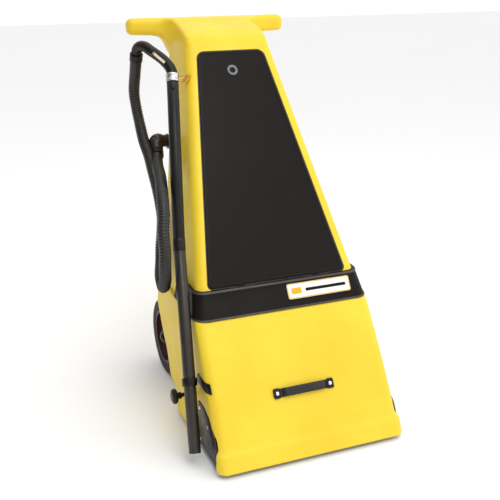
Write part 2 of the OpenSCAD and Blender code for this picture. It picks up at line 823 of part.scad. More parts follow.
// A rocker that turns on its own pins, centred at x on the switch panel
module rocker(x) {
    on_rear(switch_z, 30) translate([x, 0, 4])
    difference() {
        union() {
            translate([-9.5, -14, -6]) cube([19, 28, 8]);
            x_rod(6, -9.5, 9.5, 0, -4);
        }
        translate([-20, 0, 2]) rotate([-10, 0, 0]) cube([40, 20, 10]);
        translate([-20, 0, 2]) rotate([10, 0, 0]) translate([0, -20, 0]) cube([40, 20, 10]);
    }
}

module vacuum_switch() {
    color([0.75, 0.10, 0.08]) rocker(-32);
}

module brush_switch() {
    color([0.12, 0.35, 0.16]) rocker(0);
}

module reset_button() {
    color([0.80, 0.80, 0.78])
    on_rear(switch_z, 30) translate([34, 0, -6]) {
        cylinder(r = 8, h = 10, $fn = smooth);
        cylinder(r = 6, h = 15, $fn = smooth);
    }
}

module power_inlet() {
    color([0.09, 0.09, 0.10])
    on_rear(inlet_z, 30)
    difference() {
        union() {
            cylinder(r = 32, h = 4, $fn = smooth);
            translate([0, 0, -26]) cylinder(r = 22.5, h = 34, $fn = smooth);
        }
        translate([-14, -11, -20]) cube([28, 22, 40]);
    }
    color([0.75, 0.62, 0.30])
    on_rear(inlet_z, 30)
    for (x = [-7, 0, 7]) translate([x - 1, x == 0 ? 2 : -6, -21]) cube([2, 5, 16]);
}

// A cord hook's foot, post and crossbar
module cord_hook() {
    translate([-14, -18, 0]) cube([28, 36, 5]);
    cylinder(r = 9, h = 42, $fn = smooth);
    translate([-11, -11, 36]) cube([22, 59, 7]);
}

module lower_cord_hook() {
    color([0.10, 0.10, 0.11])
    on_rear(lower_hook_z, 20) translate([0, 0, 0.5]) cord_hook();
}

module upper_cord_hook() {
    color([0.12, 0.12, 0.13])
    on_rear(upper_hook_z, 20) translate([0, 0, 2]) {
        translate([0, 0, -tower_wall - 4]) cylinder(r = hook_stub_r, h = tower_wall + 10, $fn = smooth);
        translate([0, 0, -tower_wall - 8]) cylinder(r = hook_stub_r + 4, h = 4, $fn = smooth);
        cylinder(r = 9, h = 40, $fn = smooth);
        cylinder(r = 17, h = 6, $fn = smooth);
        translate([-11, -11, 34]) cube([22, 59, 7]);
    }
}

// Wand and hose -----------------------------------------------------------------------------------

// Places children on the hand tube: X along it, Z out towards the slider's side
module on_slider(d) {
    side = cross(slider_out, slider_axis);
    p = hand_line[1] + slider_axis * d;
    multmatrix([
        [slider_axis[0], side[0], slider_out[0], p[0]],
        [slider_axis[1], side[1], slider_out[1], p[1]],
        [slider_axis[2], side[2], slider_out[2], p[2]],
        [0, 0, 0, 1]
    ]) children();
}

module hose_port_hole() {
    x_rod(19.5, elbow_at[0] + 20, elbow_at[0] + 90, elbow_at[1], elbow_at[2]);
}

module wand_clip() {
    color([0.06, 0.06, 0.06]) {
        difference() {
            skin([for (z = [clip_at[2] - 11, clip_at[2] + 13]) lift(hood_ring(z, -3.5, 120), z)]);
            skin([for (z = [clip_at[2] - 12, clip_at[2] + 14]) lift(hood_ring(z, 0, 140), z)]);
            translate([-270, -600, 0]) cube([800, 900, 600]);
            translate([-400, clip_at[1] + 16, 0]) cube([800, 600, 600]);
            along(clip_at, lower_axis) cylinder(r = wand_r + 2, h = 120, center = true, $fn = smooth);
        }
        difference() {
            along(clip_at, lower_axis) translate([0, 0, -11])
            difference() {
                cylinder(r = wand_r + 4, h = 22, $fn = smooth);
                translate([0, 0, -1]) cylinder(r = wand_r + gap, h = 24, $fn = smooth);
            }
            skin([for (z = [clip_at[2] - 40, clip_at[2] + 50]) lift(hood_ring(z, 0, 140), z)]);
        }
    }
}

// Brass arm from the tower's front corner to a fork beside the collar
module wand_hook() {
    z = collar_z - 6;
    half_h = 9;
    corner_at = [-tower_half(z) + front_r, tower_front(z) + front_r];
    reach = corner_at - [wand_top[0], wand_top[1]];
    // how fast the tower's corner moves away from the collar with height
    slope = (reach / norm(reach)) * [tower_half(z) - tower_half(z + 1), tan(lean)];
    far = norm(reach) - front_r - 0.1;
    color([0.78, 0.62, 0.30])
    difference() {
        translate([wand_top[0], wand_top[1], z]) rotate([0, 0, atan2(reach[1], reach[0])])
            rotate([90, 0, 0]) translate([0, 0, -8]) linear_extrude(16)
            polygon([[8, -half_h], [far - slope * half_h, -half_h], [far + slope * half_h, half_h], [8, half_h]]);
        along(wand_top, upper_axis) cylinder(r = wand_r + 3.5, h = 100, center = true, $fn = smooth);
    }
}

module wand_lower_tube() {
    color([0.07, 0.07, 0.07])
    along(wand_foot, lower_axis)
    difference() {
        union() {
            translate([0, 0, tip_len]) cylinder(r = wand_r, h = lower_len - tip_len - 6, $fn = smooth);
            cylinder(r = wand_r - 1, h = tip_len, $fn = smooth);
        }
        translate([0, 0, -1]) cylinder(r = wand_r - 1 - wand_wall, h = lower_len, $fn = smooth);
    }
}

module wand_upper_tube() {
    color([0.06, 0.06, 0.06])
    along(wand_joint, upper_axis)
    difference() {
        translate([0, 0, 6]) cylinder(r = wand_r, h = upper_len - 14, $fn = smooth);
        translate([0, 0, 5]) cylinder(r = wand_r - wand_wall, h = upper_len, $fn = smooth);
    }
}

module wand_joint_ring() {
    color([0.09, 0.09, 0.09]) {
        along(wand_joint, upper_axis) {
            translate([0, 0, 6]) cylinder(r = wand_r + 1, h = 4, $fn = smooth);
            translate([0, 0, -6]) cylinder(r = wand_r - wand_wall - 0.5, h = 40, $fn = smooth);
        }
        along(wand_joint, lower_axis) translate([0, 0, -34])
            cylinder(r = wand_r - wand_wall - 1.5, h = 36, $fn = smooth);
    }
}

module wand_collar() {
    color([0.80, 0.80, 0.80])
    along(wand_top, upper_axis) translate([0, 0, -8])
    difference() {
        cylinder(r = wand_r + 2, h = 24, $fn = smooth);
        translate([0, 0, -1]) cylinder(r = wand_r - wand_wall, h = 26, $fn = smooth);
    }
}

module wand_lock_button() {
    color([0.08, 0.08, 0.08])
    along(wand_top, upper_axis)
    difference() {
        translate([-wand_r - 3, 0, -24]) {
            rotate([0, 90, 0]) cylinder(r = 6, h = 5, $fn = 32);
            translate([0, -4, -10]) cube([5, 8, 20]);
        }
        translate([0, 0, -40]) cylinder(r = wand_r, h = 60, $fn = smooth);
    }
}

module hand_tube() {
    color([0.06, 0.06, 0.06]) {
        sweep(hand_line, hand_r, 24);
        on_slider(16) translate([0, -7, hand_r - 4]) cube([66, 14, 5]);
    }
}

module bleed_slider() {
    color([0.86, 0.80, 0.62])
    on_slider(16) translate([4, -6, hand_r + 1.3]) {
        cube([40, 12, 2.5]);
        translate([30, 6, 2]) cylinder(r = 4, h = 3, $fn = 32);
    }
}

module hose_cuff() {
    color([0.09, 0.09, 0.09])
    along(hose_route[0], hose_route[1] - hose_route[0])
    difference() {
        translate([0, 0, -15]) cylinder(r = hose_r + 2, h = 24, $fn = smooth);
        translate([0, 0, -0.1]) cylinder(r = hose_r + 0.1, h = 30, $fn = smooth);
        translate([0, 0, -16]) cylinder(r = hand_r, h = 7, $fn = smooth);
    }
}

module hose_elbow() {
    hose_end = hose_route[len(hose_route) - 1];
    v = hose_route[len(hose_route) - 2] - hose_end;
    color([0.05, 0.05, 0.05])
    difference() {
        union() {
            x_rod(19, elbow_at[0], elbow_at[0] + 62, elbow_at[1], elbow_at[2]);
            x_rod(24, elbow_at[0] + 32, elbow_at[0] + 37, elbow_at[1], elbow_at[2]);
            translate(elbow_at) sphere(r = 22.5, $fn = smooth);
            along(elbow_at, hose_end - elbow_at) cylinder(r = 20, h = 34, $fn = smooth);
            along(hose_end, v) translate([0, 0, -6]) cylinder(r = hose_r + 3, h = 34, $fn = smooth);
        }
        along(hose_end, v) cylinder(r = hose_r + 0.1, h = 60, $fn = smooth);
    }
}

module hose() {
    color([0.07, 0.07, 0.07]) sweep(hose_route, hose_r, hose_sides);
}

// -------------------------------------------------------------------------------------------------

tower_shell();
lower_housing();
belt_band();
rear_service_cover();
case_screws();
base_chassis();
brush_tunnel();
mirror([1, 0, 0]) side_plate();  // side_plate_left
side_plate();  // side_plate_right
floor_glides();
brush_core();
brush_bristles();
brush_bearings();
brush_pulley();
drive_belt();
brush_motor();
motor_pulley();
vacuum_motor();
fan_impeller();
suction_duct();
bag_chamber_floor();
bag_holder();
bag_hook();
dust_bag();
exhaust_filter();
axle();
axle_clips();
mirror([1, 0, 0]) tyre();  // tyre_left
tyre();  // tyre_right
mirror([1, 0, 0]) wheel_hub();  // wheel_hub_left
wheel_hub();  // wheel_hub_right
knob_bushings();
mirror([1, 0, 0]) side_knob();  // side_knob_left
side_knob();  // side_knob_right
front_door();
door_seal();
door_hinge_pins();
door_badge();
name_plate();
lift_strap();
strap_end_caps();
switch_panel();
vacuum_switch();
brush_switch();
reset_button();
power_inlet();
lower_cord_hook();
upper_cord_hook();
wand_clip();
wand_hook();
wand_lower_tube();
wand_upper_tube();
wand_joint_ring();
wand_collar();
wand_lock_button();
hand_tube();
bleed_slider();
hose_cuff();
hose_elbow();
hose();
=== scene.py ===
"""Upright wide-area carpet cleaner: the finished look of every piece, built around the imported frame."""

import logging
import math
from dataclasses import dataclass
from enum import Enum
from typing import Callable, Sequence

import bmesh
import bpy
from mathutils import Matrix, Vector


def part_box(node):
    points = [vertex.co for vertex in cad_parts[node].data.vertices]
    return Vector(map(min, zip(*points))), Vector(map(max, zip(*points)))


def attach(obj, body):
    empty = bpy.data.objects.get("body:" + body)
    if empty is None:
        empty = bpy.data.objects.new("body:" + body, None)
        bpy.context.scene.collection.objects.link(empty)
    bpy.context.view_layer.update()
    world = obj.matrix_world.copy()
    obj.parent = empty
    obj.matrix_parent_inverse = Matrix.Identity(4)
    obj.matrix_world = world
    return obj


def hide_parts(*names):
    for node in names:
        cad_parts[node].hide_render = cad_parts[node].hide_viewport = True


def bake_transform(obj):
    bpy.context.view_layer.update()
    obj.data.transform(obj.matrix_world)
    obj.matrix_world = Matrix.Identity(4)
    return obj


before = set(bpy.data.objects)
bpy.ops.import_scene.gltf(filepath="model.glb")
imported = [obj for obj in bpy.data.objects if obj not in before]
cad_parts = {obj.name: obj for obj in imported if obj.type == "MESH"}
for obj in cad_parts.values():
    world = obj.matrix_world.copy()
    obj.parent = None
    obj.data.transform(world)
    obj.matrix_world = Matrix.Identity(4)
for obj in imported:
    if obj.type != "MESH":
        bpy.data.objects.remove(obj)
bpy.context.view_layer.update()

LOG = logging.getLogger("carpet_cleaner")
Colour = tuple[float, float, float]
Point = tuple[float, float, float]
Pair = tuple[float, float]
Test = Callable[[Vector], bool]
Piece = bpy.types.Object
Socket = bpy.types.NodeSocket
TINY = 1e-5


# Finishes ----------------------------------------------------------------------------------------


class Grain(Enum):
    """How the surface of a finish is broken up."""

    MOULDED = "moulded"
    BRUSHED = "brushed"
    WOVEN = "woven"
    PAINTED = "painted"
    RUBBER = "rubber"


@dataclass(frozen=True)
class Finish:
    """A procedural finish on object coordinates.

    Attributes:
        name: Material name in a maker's words.
        slot: The record's material slot; not used by the script.
        light: Colour of the clean surface.
        dark: Colour of its darker patches.
        rough: Lowest and highest roughness.
        grain: The kind of surface texture.
        grain_size: Size of the texture's cells in metres.
        grain_depth: Height of the texture in metres.
        metal: Metallic share.
        coat: Weight of a clear gloss layer.
        sheen: Weight of a fabric sheen.
        inner_glow: Weight of subsurface scattering.
        scuff: Colour of rubbed marks, or None.
        cloud: Size of the colour patches in metres.
        gloss: Strength of the surface reflection, 0.5 for bare plastic.
    """

    name: str
    slot: str
    light: Colour
    dark: Colour
    rough: Pair = (0.35, 0.5)
    grain: Grain = Grain.MOULDED
    grain_size: float = 0.0012
    grain_depth: float = 0.00004
    metal: float = 0.0
    coat: float = 0.0
    sheen: float = 0.0
    inner_glow: float = 0.0
    scuff: Colour | None = None
    cloud: float = 0.12
    gloss: float = 0.2

    def material(self) -> bpy.types.Material:
        """Returns the finish's material, made once."""
        made = bpy.data.materials.get(self.name)
        if made is None:
            made = bpy.data.materials.new(self.name)
            made.use_nodes = True
            FinishGraph(self, made.node_tree).build()
        return made


NOISE_ROUGHNESS = 0.55
WAVE_SCALE = 0.314          # a wave texture of this scale repeats once a metre
THREAD_WOBBLE = 0.6
MARK_SIZE = 0.012
MARK_ROUGHNESS = 0.35
COAT_ROUGHNESS = 0.12
METAL_GLOSS = 0.5
GLOW_RADIUS = (1.0, 0.6, 0.15)
GLOW_DEPTH = 0.004


class FinishGraph:
    """Builds the node graph of one finish."""

    def __init__(self, finish: Finish, tree: bpy.types.NodeTree) -> None:
        """Starts the graph.

        Args:
            finish: What to build.
            tree: The material's node tree.
        """
        self.finish = finish
        self.tree = tree
        self.shader = tree.nodes["Principled BSDF"]
        self.coordinates = tree.nodes.new("ShaderNodeTexCoord").outputs["Object"]

    def node(self, kind: str, settings: dict[str, object] | None = None, **inputs: object) -> bpy.types.Node:
        """Adds a node.

        Args:
            kind: Node type.
            settings: Properties of the node.
            inputs: Values or sockets for its inputs; underscores stand for spaces.
        Returns:
            The node.
        """
        made = self.tree.nodes.new(kind)
        for key, value in (settings or {}).items():
            setattr(made, key, value)
        for key, value in inputs.items():
            socket = made.inputs[key.replace("_", " ")]
            if isinstance(value, Socket):
                self.tree.links.new(value, socket)
            else:
                socket.default_value = value
        return made

    def stretched(self, stretch: Point) -> Socket:
        """Returns object coordinates scaled by stretch along each axis."""
        return self.node("ShaderNodeMapping", Vector=self.coordinates, Scale=stretch).outputs["Vector"]

    def noise(self, size: float, stretch: Point = (1, 1, 1), detail: float = 3) -> Socket:
        """Returns a noise value with cells of the given size in metres."""
        vector = self.stretched(stretch)
        made = self.node("ShaderNodeTexNoise", Vector=vector, Scale=1 / size, Detail=detail,
                         Roughness=NOISE_ROUGHNESS)
        return made.outputs["Fac"]

    def spread(self, value: Socket, start: float, end: float, low: float, high: float) -> Socket:
        """Returns value mapped from start..end to low..high, clamped."""
        limits = {"From_Min": start, "From_Max": end, "To_Min": low, "To_Max": high}
        return self.node("ShaderNodeMapRange", Value=value, **limits).outputs["Result"]

    def blend(self, share: Socket, first: object, second: object) -> Socket:
        """Returns a colour mixed from first to second by share."""
        made = self.node("ShaderNodeMix", {"data_type": "RGBA"})
        for index, value in ((0, share), (6, first), (7, second)):
            if isinstance(value, Socket):
                self.tree.links.new(value, made.inputs[index])
            else:
                made.inputs[index].default_value = (*value, 1)
        return made.outputs[2]

    def sum(self, first: Socket, second: Socket, share: float) -> Socket:
        """Returns first plus share of second."""
        made = self.node("ShaderNodeMath", {"operation": "MULTIPLY_ADD"})
        self.tree.links.new(second, made.inputs[0])
        made.inputs[1].default_value = share
        self.tree.links.new(first, made.inputs[2])
        return made.outputs[0]

    def weave(self, size: float) -> Socket:
        """Returns the height of a plain weave with threads of the given size."""
        bands = [
            self.node("ShaderNodeTexWave", {"bands_direction": way}, Vector=self.coordinates,
                      Scale=WAVE_SCALE / size, Distortion=THREAD_WOBBLE, Detail=1.0).outputs["Fac"]
            for way in ("X", "Z")
        ]
        return self.sum(bands[0], bands[1], 1.0)

    def height(self) -> Socket:
        """Returns the height field of the finish's grain, about 0 to 1."""
        size = self.finish.grain_size
        if self.finish.grain is Grain.BRUSHED:
            return self.noise(size, (1, 1, 0.04))
        if self.finish.grain is Grain.WOVEN:
            return self.weave(size)
        if self.finish.grain is Grain.RUBBER:
            return self.sum(self.noise(size), self.noise(size * 6), 0.6)
        if self.finish.grain is Grain.PAINTED:
            return self.noise(size * 2, detail=1)
        return self.sum(self.noise(size), self.noise(size * 40, detail=1), 3.0)

    def build(self) -> None:
        """Links the whole graph to the shader."""
        look = self.finish
        shader = self.shader
        clouds = self.noise(look.cloud)
        colour = self.blend(self.spread(clouds, 0.35, 0.68, 0, 1), look.light, look.dark)
        rough = self.spread(self.noise(look.cloud / 5), 0.3, 0.7, *look.rough)
        if look.scuff is not None:
            marks = self.spread(self.noise(MARK_SIZE, (1, 1, 0.25), 6), 0.66, 0.74, 0, 0.5)
            colour = self.blend(marks, colour, look.scuff)
            rough = self.sum(rough, marks, MARK_ROUGHNESS)
        links = self.tree.links
        links.new(colour, shader.inputs["Base Color"])
        links.new(rough, shader.inputs["Roughness"])
        bump = self.node("ShaderNodeBump", Height=self.height(), Distance=look.grain_depth, Strength=1.0)
        links.new(bump.outputs["Normal"], shader.inputs["Normal"])
        shader.inputs["Metallic"].default_value = look.metal
        shader.inputs["Specular IOR Level"].default_value = METAL_GLOSS if look.metal else look.gloss
        shader.inputs["Coat Weight"].default_value = look.coat
        shader.inputs["Coat Roughness"].default_value = COAT_ROUGHNESS
        shader.inputs["Sheen Weight"].default_value = look.sheen
        if look.inner_glow:
            shader.inputs["Subsurface Weight"].default_value = look.inner_glow
            shader.inputs["Subsurface Radius"].default_value = GLOW_RADIUS
            shader.inputs["Subsurface Scale"].default_value = GLOW_DEPTH


YELLOW = Finish("satin_yellow_moulding", "yellow_polyethylene", (0.86, 0.64, 0.040), (0.82, 0.57, 0.028),
                rough=(0.34, 0.46), grain_size=0.0016, grain_depth=0.00005,
                scuff=(0.74, 0.42, 0.02), cloud=0.25, gloss=0.3)
BAND = Finish("dark_brown_band", "dark_band", (0.009, 0.0065, 0.0048), (0.0065, 0.0048, 0.0036),
              rough=(0.36, 0.48), grain_size=0.001, scuff=(0.03, 0.024, 0.019), gloss=0.12)
# Lip finish: its lighter brown is a painted highlight along the rounded lips; its scuff marks are wear.
BEAD = Finish("painted_lip_highlight_and_scuffs", "dark_band", (0.060, 0.048, 0.038), (0.040, 0.031, 0.025),
              rough=(0.3, 0.42), grain_size=0.001, scuff=(0.10, 0.085, 0.07), cloud=0.04, gloss=0.45)
DOOR = Finish("door_satin_black", "door_black", (0.0085, 0.0060, 0.0048), (0.0065, 0.0046, 0.0037),
              rough=(0.30, 0.38), grain_size=0.0006, grain_depth=0.00002,
              scuff=(0.022, 0.017, 0.014), cloud=0.3, gloss=0.13)
PLASTIC = Finish("black_moulded_plastic", "black_plastic", (0.006, 0.005, 0.0045), (0.010, 0.008, 0.007),
                 rough=(0.26, 0.42), grain_size=0.0008, scuff=(0.018, 0.015, 0.013), gloss=0.28)
GLOSS = Finish("glossy_black_plastic", "black_plastic", (0.008, 0.006, 0.005), (0.012, 0.009, 0.008),
               rough=(0.14, 0.24), grain=Grain.PAINTED, grain_depth=0.00002, gloss=0.5, cloud=0.04)
RUBBER = Finish("black_rubber", "rubber_black", (0.009, 0.008, 0.007), (0.014, 0.012, 0.010),
                rough=(0.24, 0.42), grain=Grain.RUBBER, grain_size=0.0007,
                scuff=(0.03, 0.027, 0.024), gloss=0.45)
WAND = Finish("wand_dark_paint", "wand_black", (0.030, 0.022, 0.016), (0.020, 0.015, 0.011),
              rough=(0.26, 0.4), grain=Grain.PAINTED, grain_size=0.0012, grain_depth=0.00002,
              scuff=(0.075, 0.06, 0.045), cloud=0.2, gloss=0.45)
PLATE = Finish("plate_dark_paint", "side_plate_dark", (0.026, 0.016, 0.020), (0.018, 0.011, 0.014),
               rough=(0.30, 0.48), grain=Grain.PAINTED, grain_depth=0.00003, scuff=(0.12, 0.10, 0.12),
               metal=0.3)
STEEL = Finish("zinc_steel", "steel", (0.62, 0.62, 0.64), (0.48, 0.48, 0.50), rough=(0.22, 0.4),
               grain=Grain.BRUSHED, grain_size=0.0012, grain_depth=0.00002, metal=1.0, cloud=0.03)
DARK_STEEL = Finish("blackened_steel", "steel", (0.03, 0.03, 0.032), (0.02, 0.02, 0.022), rough=(0.3, 0.42),
                    grain=Grain.BRUSHED, grain_size=0.0012, grain_depth=0.00002, metal=0.8, cloud=0.02)
CHROME = Finish("bright_chrome", "chrome_screws", (0.86, 0.86, 0.88), (0.74, 0.74, 0.76), rough=(0.08, 0.16),
                grain=Grain.PAINTED, grain_depth=0.00001, metal=1.0, cloud=0.01)
FRAME_GREY = Finish("frame_grey_paint", "frame_grey", (0.11, 0.115, 0.125), (0.08, 0.085, 0.09),
                    rough=(0.4, 0.55), grain=Grain.PAINTED, grain_size=0.0015, scuff=(0.22, 0.21, 0.2))
ALUMINIUM = Finish("cast_aluminium", "motor_aluminium", (0.42, 0.43, 0.45), (0.30, 0.31, 0.33),
                   rough=(0.4, 0.6), grain_size=0.0018, grain_depth=0.00012, metal=0.9, cloud=0.04)
GLIDE = Finish("grey_nylon", "glide_grey", (0.42, 0.42, 0.44), (0.30, 0.30, 0.32), rough=(0.4, 0.6),
               scuff=(0.2, 0.2, 0.2), cloud=0.03)
TYRE = Finish("tyre_rubber", "tyre_black", (0.022, 0.012, 0.012), (0.034, 0.018, 0.018), rough=(0.5, 0.7),
              grain=Grain.RUBBER, grain_size=0.001, grain_depth=0.0001, scuff=(0.07, 0.05, 0.045))
HUB = Finish("maroon_hub", "hub_maroon", (0.050, 0.008, 0.011), (0.030, 0.006, 0.008), rough=(0.3, 0.45))
BRISTLE = Finish("nylon_bristle", "bristle", (0.020, 0.020, 0.026), (0.010, 0.010, 0.012), rough=(0.4, 0.6))
FABRIC = Finish("bag_cloth", "bag_fabric", (0.40, 0.37, 0.32), (0.30, 0.275, 0.24), rough=(0.8, 0.95),
                grain=Grain.WOVEN, grain_size=0.0022, grain_depth=0.0003, sheen=0.3, cloud=0.08)
PAPER = Finish("filter_fleece", "filter_paper", (0.62, 0.62, 0.58), (0.48, 0.48, 0.45), rough=(0.85, 0.95),
               grain=Grain.RUBBER, grain_size=0.002, grain_depth=0.0003)
SILVER = Finish("silver_collar_metal", "collar_silver", (0.72, 0.71, 0.70), (0.58, 0.57, 0.57),
                rough=(0.2, 0.34), grain=Grain.BRUSHED, grain_size=0.001, grain_depth=0.00002,
                metal=1.0, cloud=0.02)
BRASS = Finish("satin_brass", "brass", (0.74, 0.50, 0.17), (0.60, 0.38, 0.12), rough=(0.22, 0.36),
               grain=Grain.BRUSHED, grain_depth=0.00002, metal=1.0, cloud=0.02)
CREAM = Finish("cream_slider", "slider_cream", (0.78, 0.72, 0.50), (0.70, 0.63, 0.42), rough=(0.28, 0.4),
               cloud=0.02)
RED = Finish("rocker_red", "switch_red", (0.50, 0.012, 0.010), (0.42, 0.010, 0.008), rough=(0.2, 0.3),
             coat=0.4, gloss=0.5)
GREEN = Finish("rocker_green", "switch_green", (0.012, 0.14, 0.035), (0.010, 0.11, 0.028), rough=(0.2, 0.3),
               coat=0.4)
WHITE = Finish("white_plate", "label_white", (0.86, 0.86, 0.84), (0.80, 0.80, 0.78), rough=(0.22, 0.3),
               grain_depth=0.00001, coat=0.3)
BUTTON = Finish("white_cap", "button_white", (0.66, 0.66, 0.63), (0.58, 0.58, 0.55), rough=(0.25, 0.35))
PRINT = Finish("printed_amber", "label_white", (0.80, 0.46, 0.02), (0.74, 0.42, 0.02), rough=(0.25, 0.3),
               grain_depth=0.00001)
BADGE = Finish("ring_silver", "badge_silver", (0.20, 0.20, 0.22), (0.13, 0.13, 0.15), rough=(0.25, 0.4),
               grain=Grain.BRUSHED, grain_depth=0.00002, metal=0.9, cloud=0.02)


# Modelling moves ---------------------------------------------------------------------------------


@dataclass(frozen=True)
class Section:
    """A rounded rectangle at one level of a lofted form.

    Attributes:
        level: Its place along the loft.
        low: Lowest first and second coordinate.
        high: Highest first and second coordinate.
        low_radius: Radius of the two corners at the low second coordinate.
        high_radius: Radius of the two corners at the high second coordinate.
    """

    level: float
    low: Pair
    high: Pair
    low_radius: float
    high_radius: float


class Bench:
    """Modelling moves that the sub-assemblies share."""

    @staticmethod
    def linked(name: str, data: bpy.types.ID) -> Piece:
        """Returns a new object with the given data, linked to the scene."""
        made = bpy.data.objects.new(name, data)
        bpy.context.scene.collection.objects.link(made)
        return made

    @staticmethod
    def clear() -> None:
        """Leaves edit mode and deselects everything."""
        if bpy.context.object is not None and bpy.context.object.mode != "OBJECT":
            bpy.ops.object.mode_set(mode="OBJECT")
        bpy.ops.object.select_all(action="DESELECT")

    @staticmethod
    def take(piece: Piece) -> None:
        """Makes piece the only selected and the active object."""
        Bench.clear()
        piece.select_set(True)
        bpy.context.view_layer.objects.active = piece

    @staticmethod
    def edit(piece: Piece) -> None:
        """Enters edit mode on piece with nothing selected."""
        Bench.take(piece)
        bpy.ops.object.mode_set(mode="EDIT")
        bpy.ops.mesh.select_mode(type="VERT")
        bpy.ops.mesh.select_all(action="DESELECT")

    @staticmethod
    def pick(test: Test, among_selected: bool = False) -> int:
        """Selects the vertices that pass a test, in edit mode.

        Args:
            test: Says whether a vertex at a place is wanted.
            among_selected: Whether only selected vertices may stay selected.
        Returns:
            How many are selected.
        """
        mesh = bmesh.from_edit_mesh(bpy.context.object.data)
        wanted = {v for v in mesh.verts if (v.select or not among_selected) and test(v.co)}
        for vertex in mesh.verts:
            vertex.select = vertex in wanted
        mesh.select_flush_mode()
        mesh.select_flush(True)
        bmesh.update_edit_mesh(bpy.context.object.data)
        return len(wanted)

    @staticmethod
    def close(name: str) -> Piece:
        """Leaves edit mode with outward normals, names the active piece and returns it."""
        bpy.ops.mesh.select_all(action="SELECT")
        bpy.ops.mesh.remove_doubles(threshold=TINY)
        bpy.ops.mesh.normals_make_consistent(inside=False)
        bpy.ops.object.mode_set(mode="OBJECT")
        piece = bpy.context.object
        piece.name = piece.data.name = name
        return piece

    @staticmethod
    def place(piece: Piece, matrix: Matrix) -> Piece:
        """Moves piece by matrix, puts the place into its mesh and returns it."""
        Bench.take(piece)
        piece.matrix_world = matrix
        bpy.ops.object.transform_apply(location=True, rotation=True, scale=True)
        return piece

    @staticmethod
    def apply(piece: Piece, kind: str, **settings: object) -> Piece:
        """Adds a modifier with its settings, applies it and returns the piece."""
        Bench.take(piece)
        modifier = piece.modifiers.new(kind.lower(), kind)
        for key, value in settings.items():
            setattr(modifier, key, value)
        bpy.ops.object.modifier_apply(modifier=modifier.name)
        return piece

    @staticmethod
    def soften(piece: Piece, width: float, segments: int = 2, angle: float = 35,
               smooth: float = 40) -> Piece:
        """Bevels the sharp edges and shades the rest smooth.

        Args:
            piece: What to finish.
            width: Bevel width in metres; 0 leaves the edges.
            segments: Rows of faces in the bevel.
            angle: Sharpest angle in degrees that isn't bevelled.
            smooth: Sharpest angle in degrees that is shaded smooth.
        Returns:
            The piece.
        """
        if width > 0:
            Bench.apply(piece, "BEVEL", width=width, segments=segments, limit_method="ANGLE",
                        angle_limit=math.radians(angle), harden_normals=False)
        Bench.take(piece)
        bpy.ops.object.shade_smooth_by_angle(angle=math.radians(smooth))
        return piece

    @staticmethod
    def cut(piece: Piece, tool: Piece, join: bool = False) -> Piece:
        """Subtracts a tool from a piece, or joins them, and throws the tool away."""
        Bench.apply(piece, "BOOLEAN", object=tool, operation="UNION" if join else "DIFFERENCE",
                    solver="EXACT")
        bpy.data.objects.remove(tool)
        return piece

    @staticmethod
    def join(name: str, parts: Sequence[Piece]) -> Piece:
        """Makes one piece of several meshes and returns it."""
        Bench.take(parts[0])
        for part in parts[1:]:
            part.select_set(True)
        if len(parts) > 1:
            bpy.ops.object.join()
        piece = bpy.context.object
        piece.name = piece.data.name = name
        return piece

    @staticmethod
    def copy(piece: Piece, name: str, matrix: Matrix = Matrix.Identity(4)) -> Piece:
        """Returns a copy of piece with its own mesh, moved by matrix, with its faces outwards."""
        made = Bench.linked(name, piece.data.copy())
        made.data.name = name
        Bench.place(made, matrix)
        if matrix.determinant() < 0:
            Bench.edit(made)
            Bench.close(name)
        return made

    @staticmethod
    def box(name: str, low: Point, high: Point) -> Piece:
        """Returns a block between two corners."""
        Bench.clear()
        middle = [(a + b) / 2 for a, b in zip(low, high)]
        bpy.ops.mesh.primitive_cube_add(size=1, location=middle, scale=[b - a for a, b in zip(low, high)])
        bpy.ops.object.transform_apply(location=True, rotation=True, scale=True)
        bpy.context.object.name = name
        return bpy.context.object

    @staticmethod
    def loft(name: str, sections: Sequence[Section], steps: int = 8) -> Piece:
        """Bridges rounded rectangles into a closed form along Z.

        Args:
            name: The piece's name.
            sections: Its sections, from the lowest level up.
            steps: Segments in each rounded corner.
        Returns:
            The piece.
        """
        Bench.clear()
        bpy.ops.mesh.primitive_plane_add(size=1)
        bpy.ops.object.mode_set(mode="EDIT")
        bpy.ops.mesh.select_mode(type="VERT")
        bpy.ops.mesh.delete(type="VERT")
        for section in sections:
            Bench.rounded_plane(section, steps)
        bpy.ops.mesh.select_all(action="SELECT")
        bpy.ops.mesh.delete(type="ONLY_FACE")
        bpy.ops.mesh.select_all(action="SELECT")
        bpy.ops.mesh.bridge_edge_loops()
        for level in (sections[0].level, sections[-1].level):
            Bench.pick(lambda place, at=level: abs(place.z - at) < TINY)
            bpy.ops.mesh.edge_face_add()
        return Bench.close(name)

    @staticmethod
    def rounded_plane(section: Section, steps: int) -> None:
        """Adds one section to the mesh in edit mode, with rounded corners."""
        (x0, y0), (x1, y1) = section.low, section.high
        middle = ((x0 + x1) / 2, (y0 + y1) / 2, section.level)
        bpy.ops.mesh.select_all(action="DESELECT")
        bpy.ops.mesh.primitive_plane_add(size=1, location=middle)
        bpy.ops.transform.resize(value=(x1 - x0, y1 - y0, 1), center_override=middle)
        for edge, radius in ((y0, section.low_radius), (y1, section.high_radius)):
            Bench.pick(lambda place: abs(place.z - section.level) < TINY and abs(place.y - edge) < TINY
                       and min(abs(place.x - x0), abs(place.x - x1)) < TINY)
            bpy.ops.mesh.bevel(offset=radius, offset_type="OFFSET", segments=steps, profile=0.5,
                               affect="VERTICES", clamp_overlap=False)

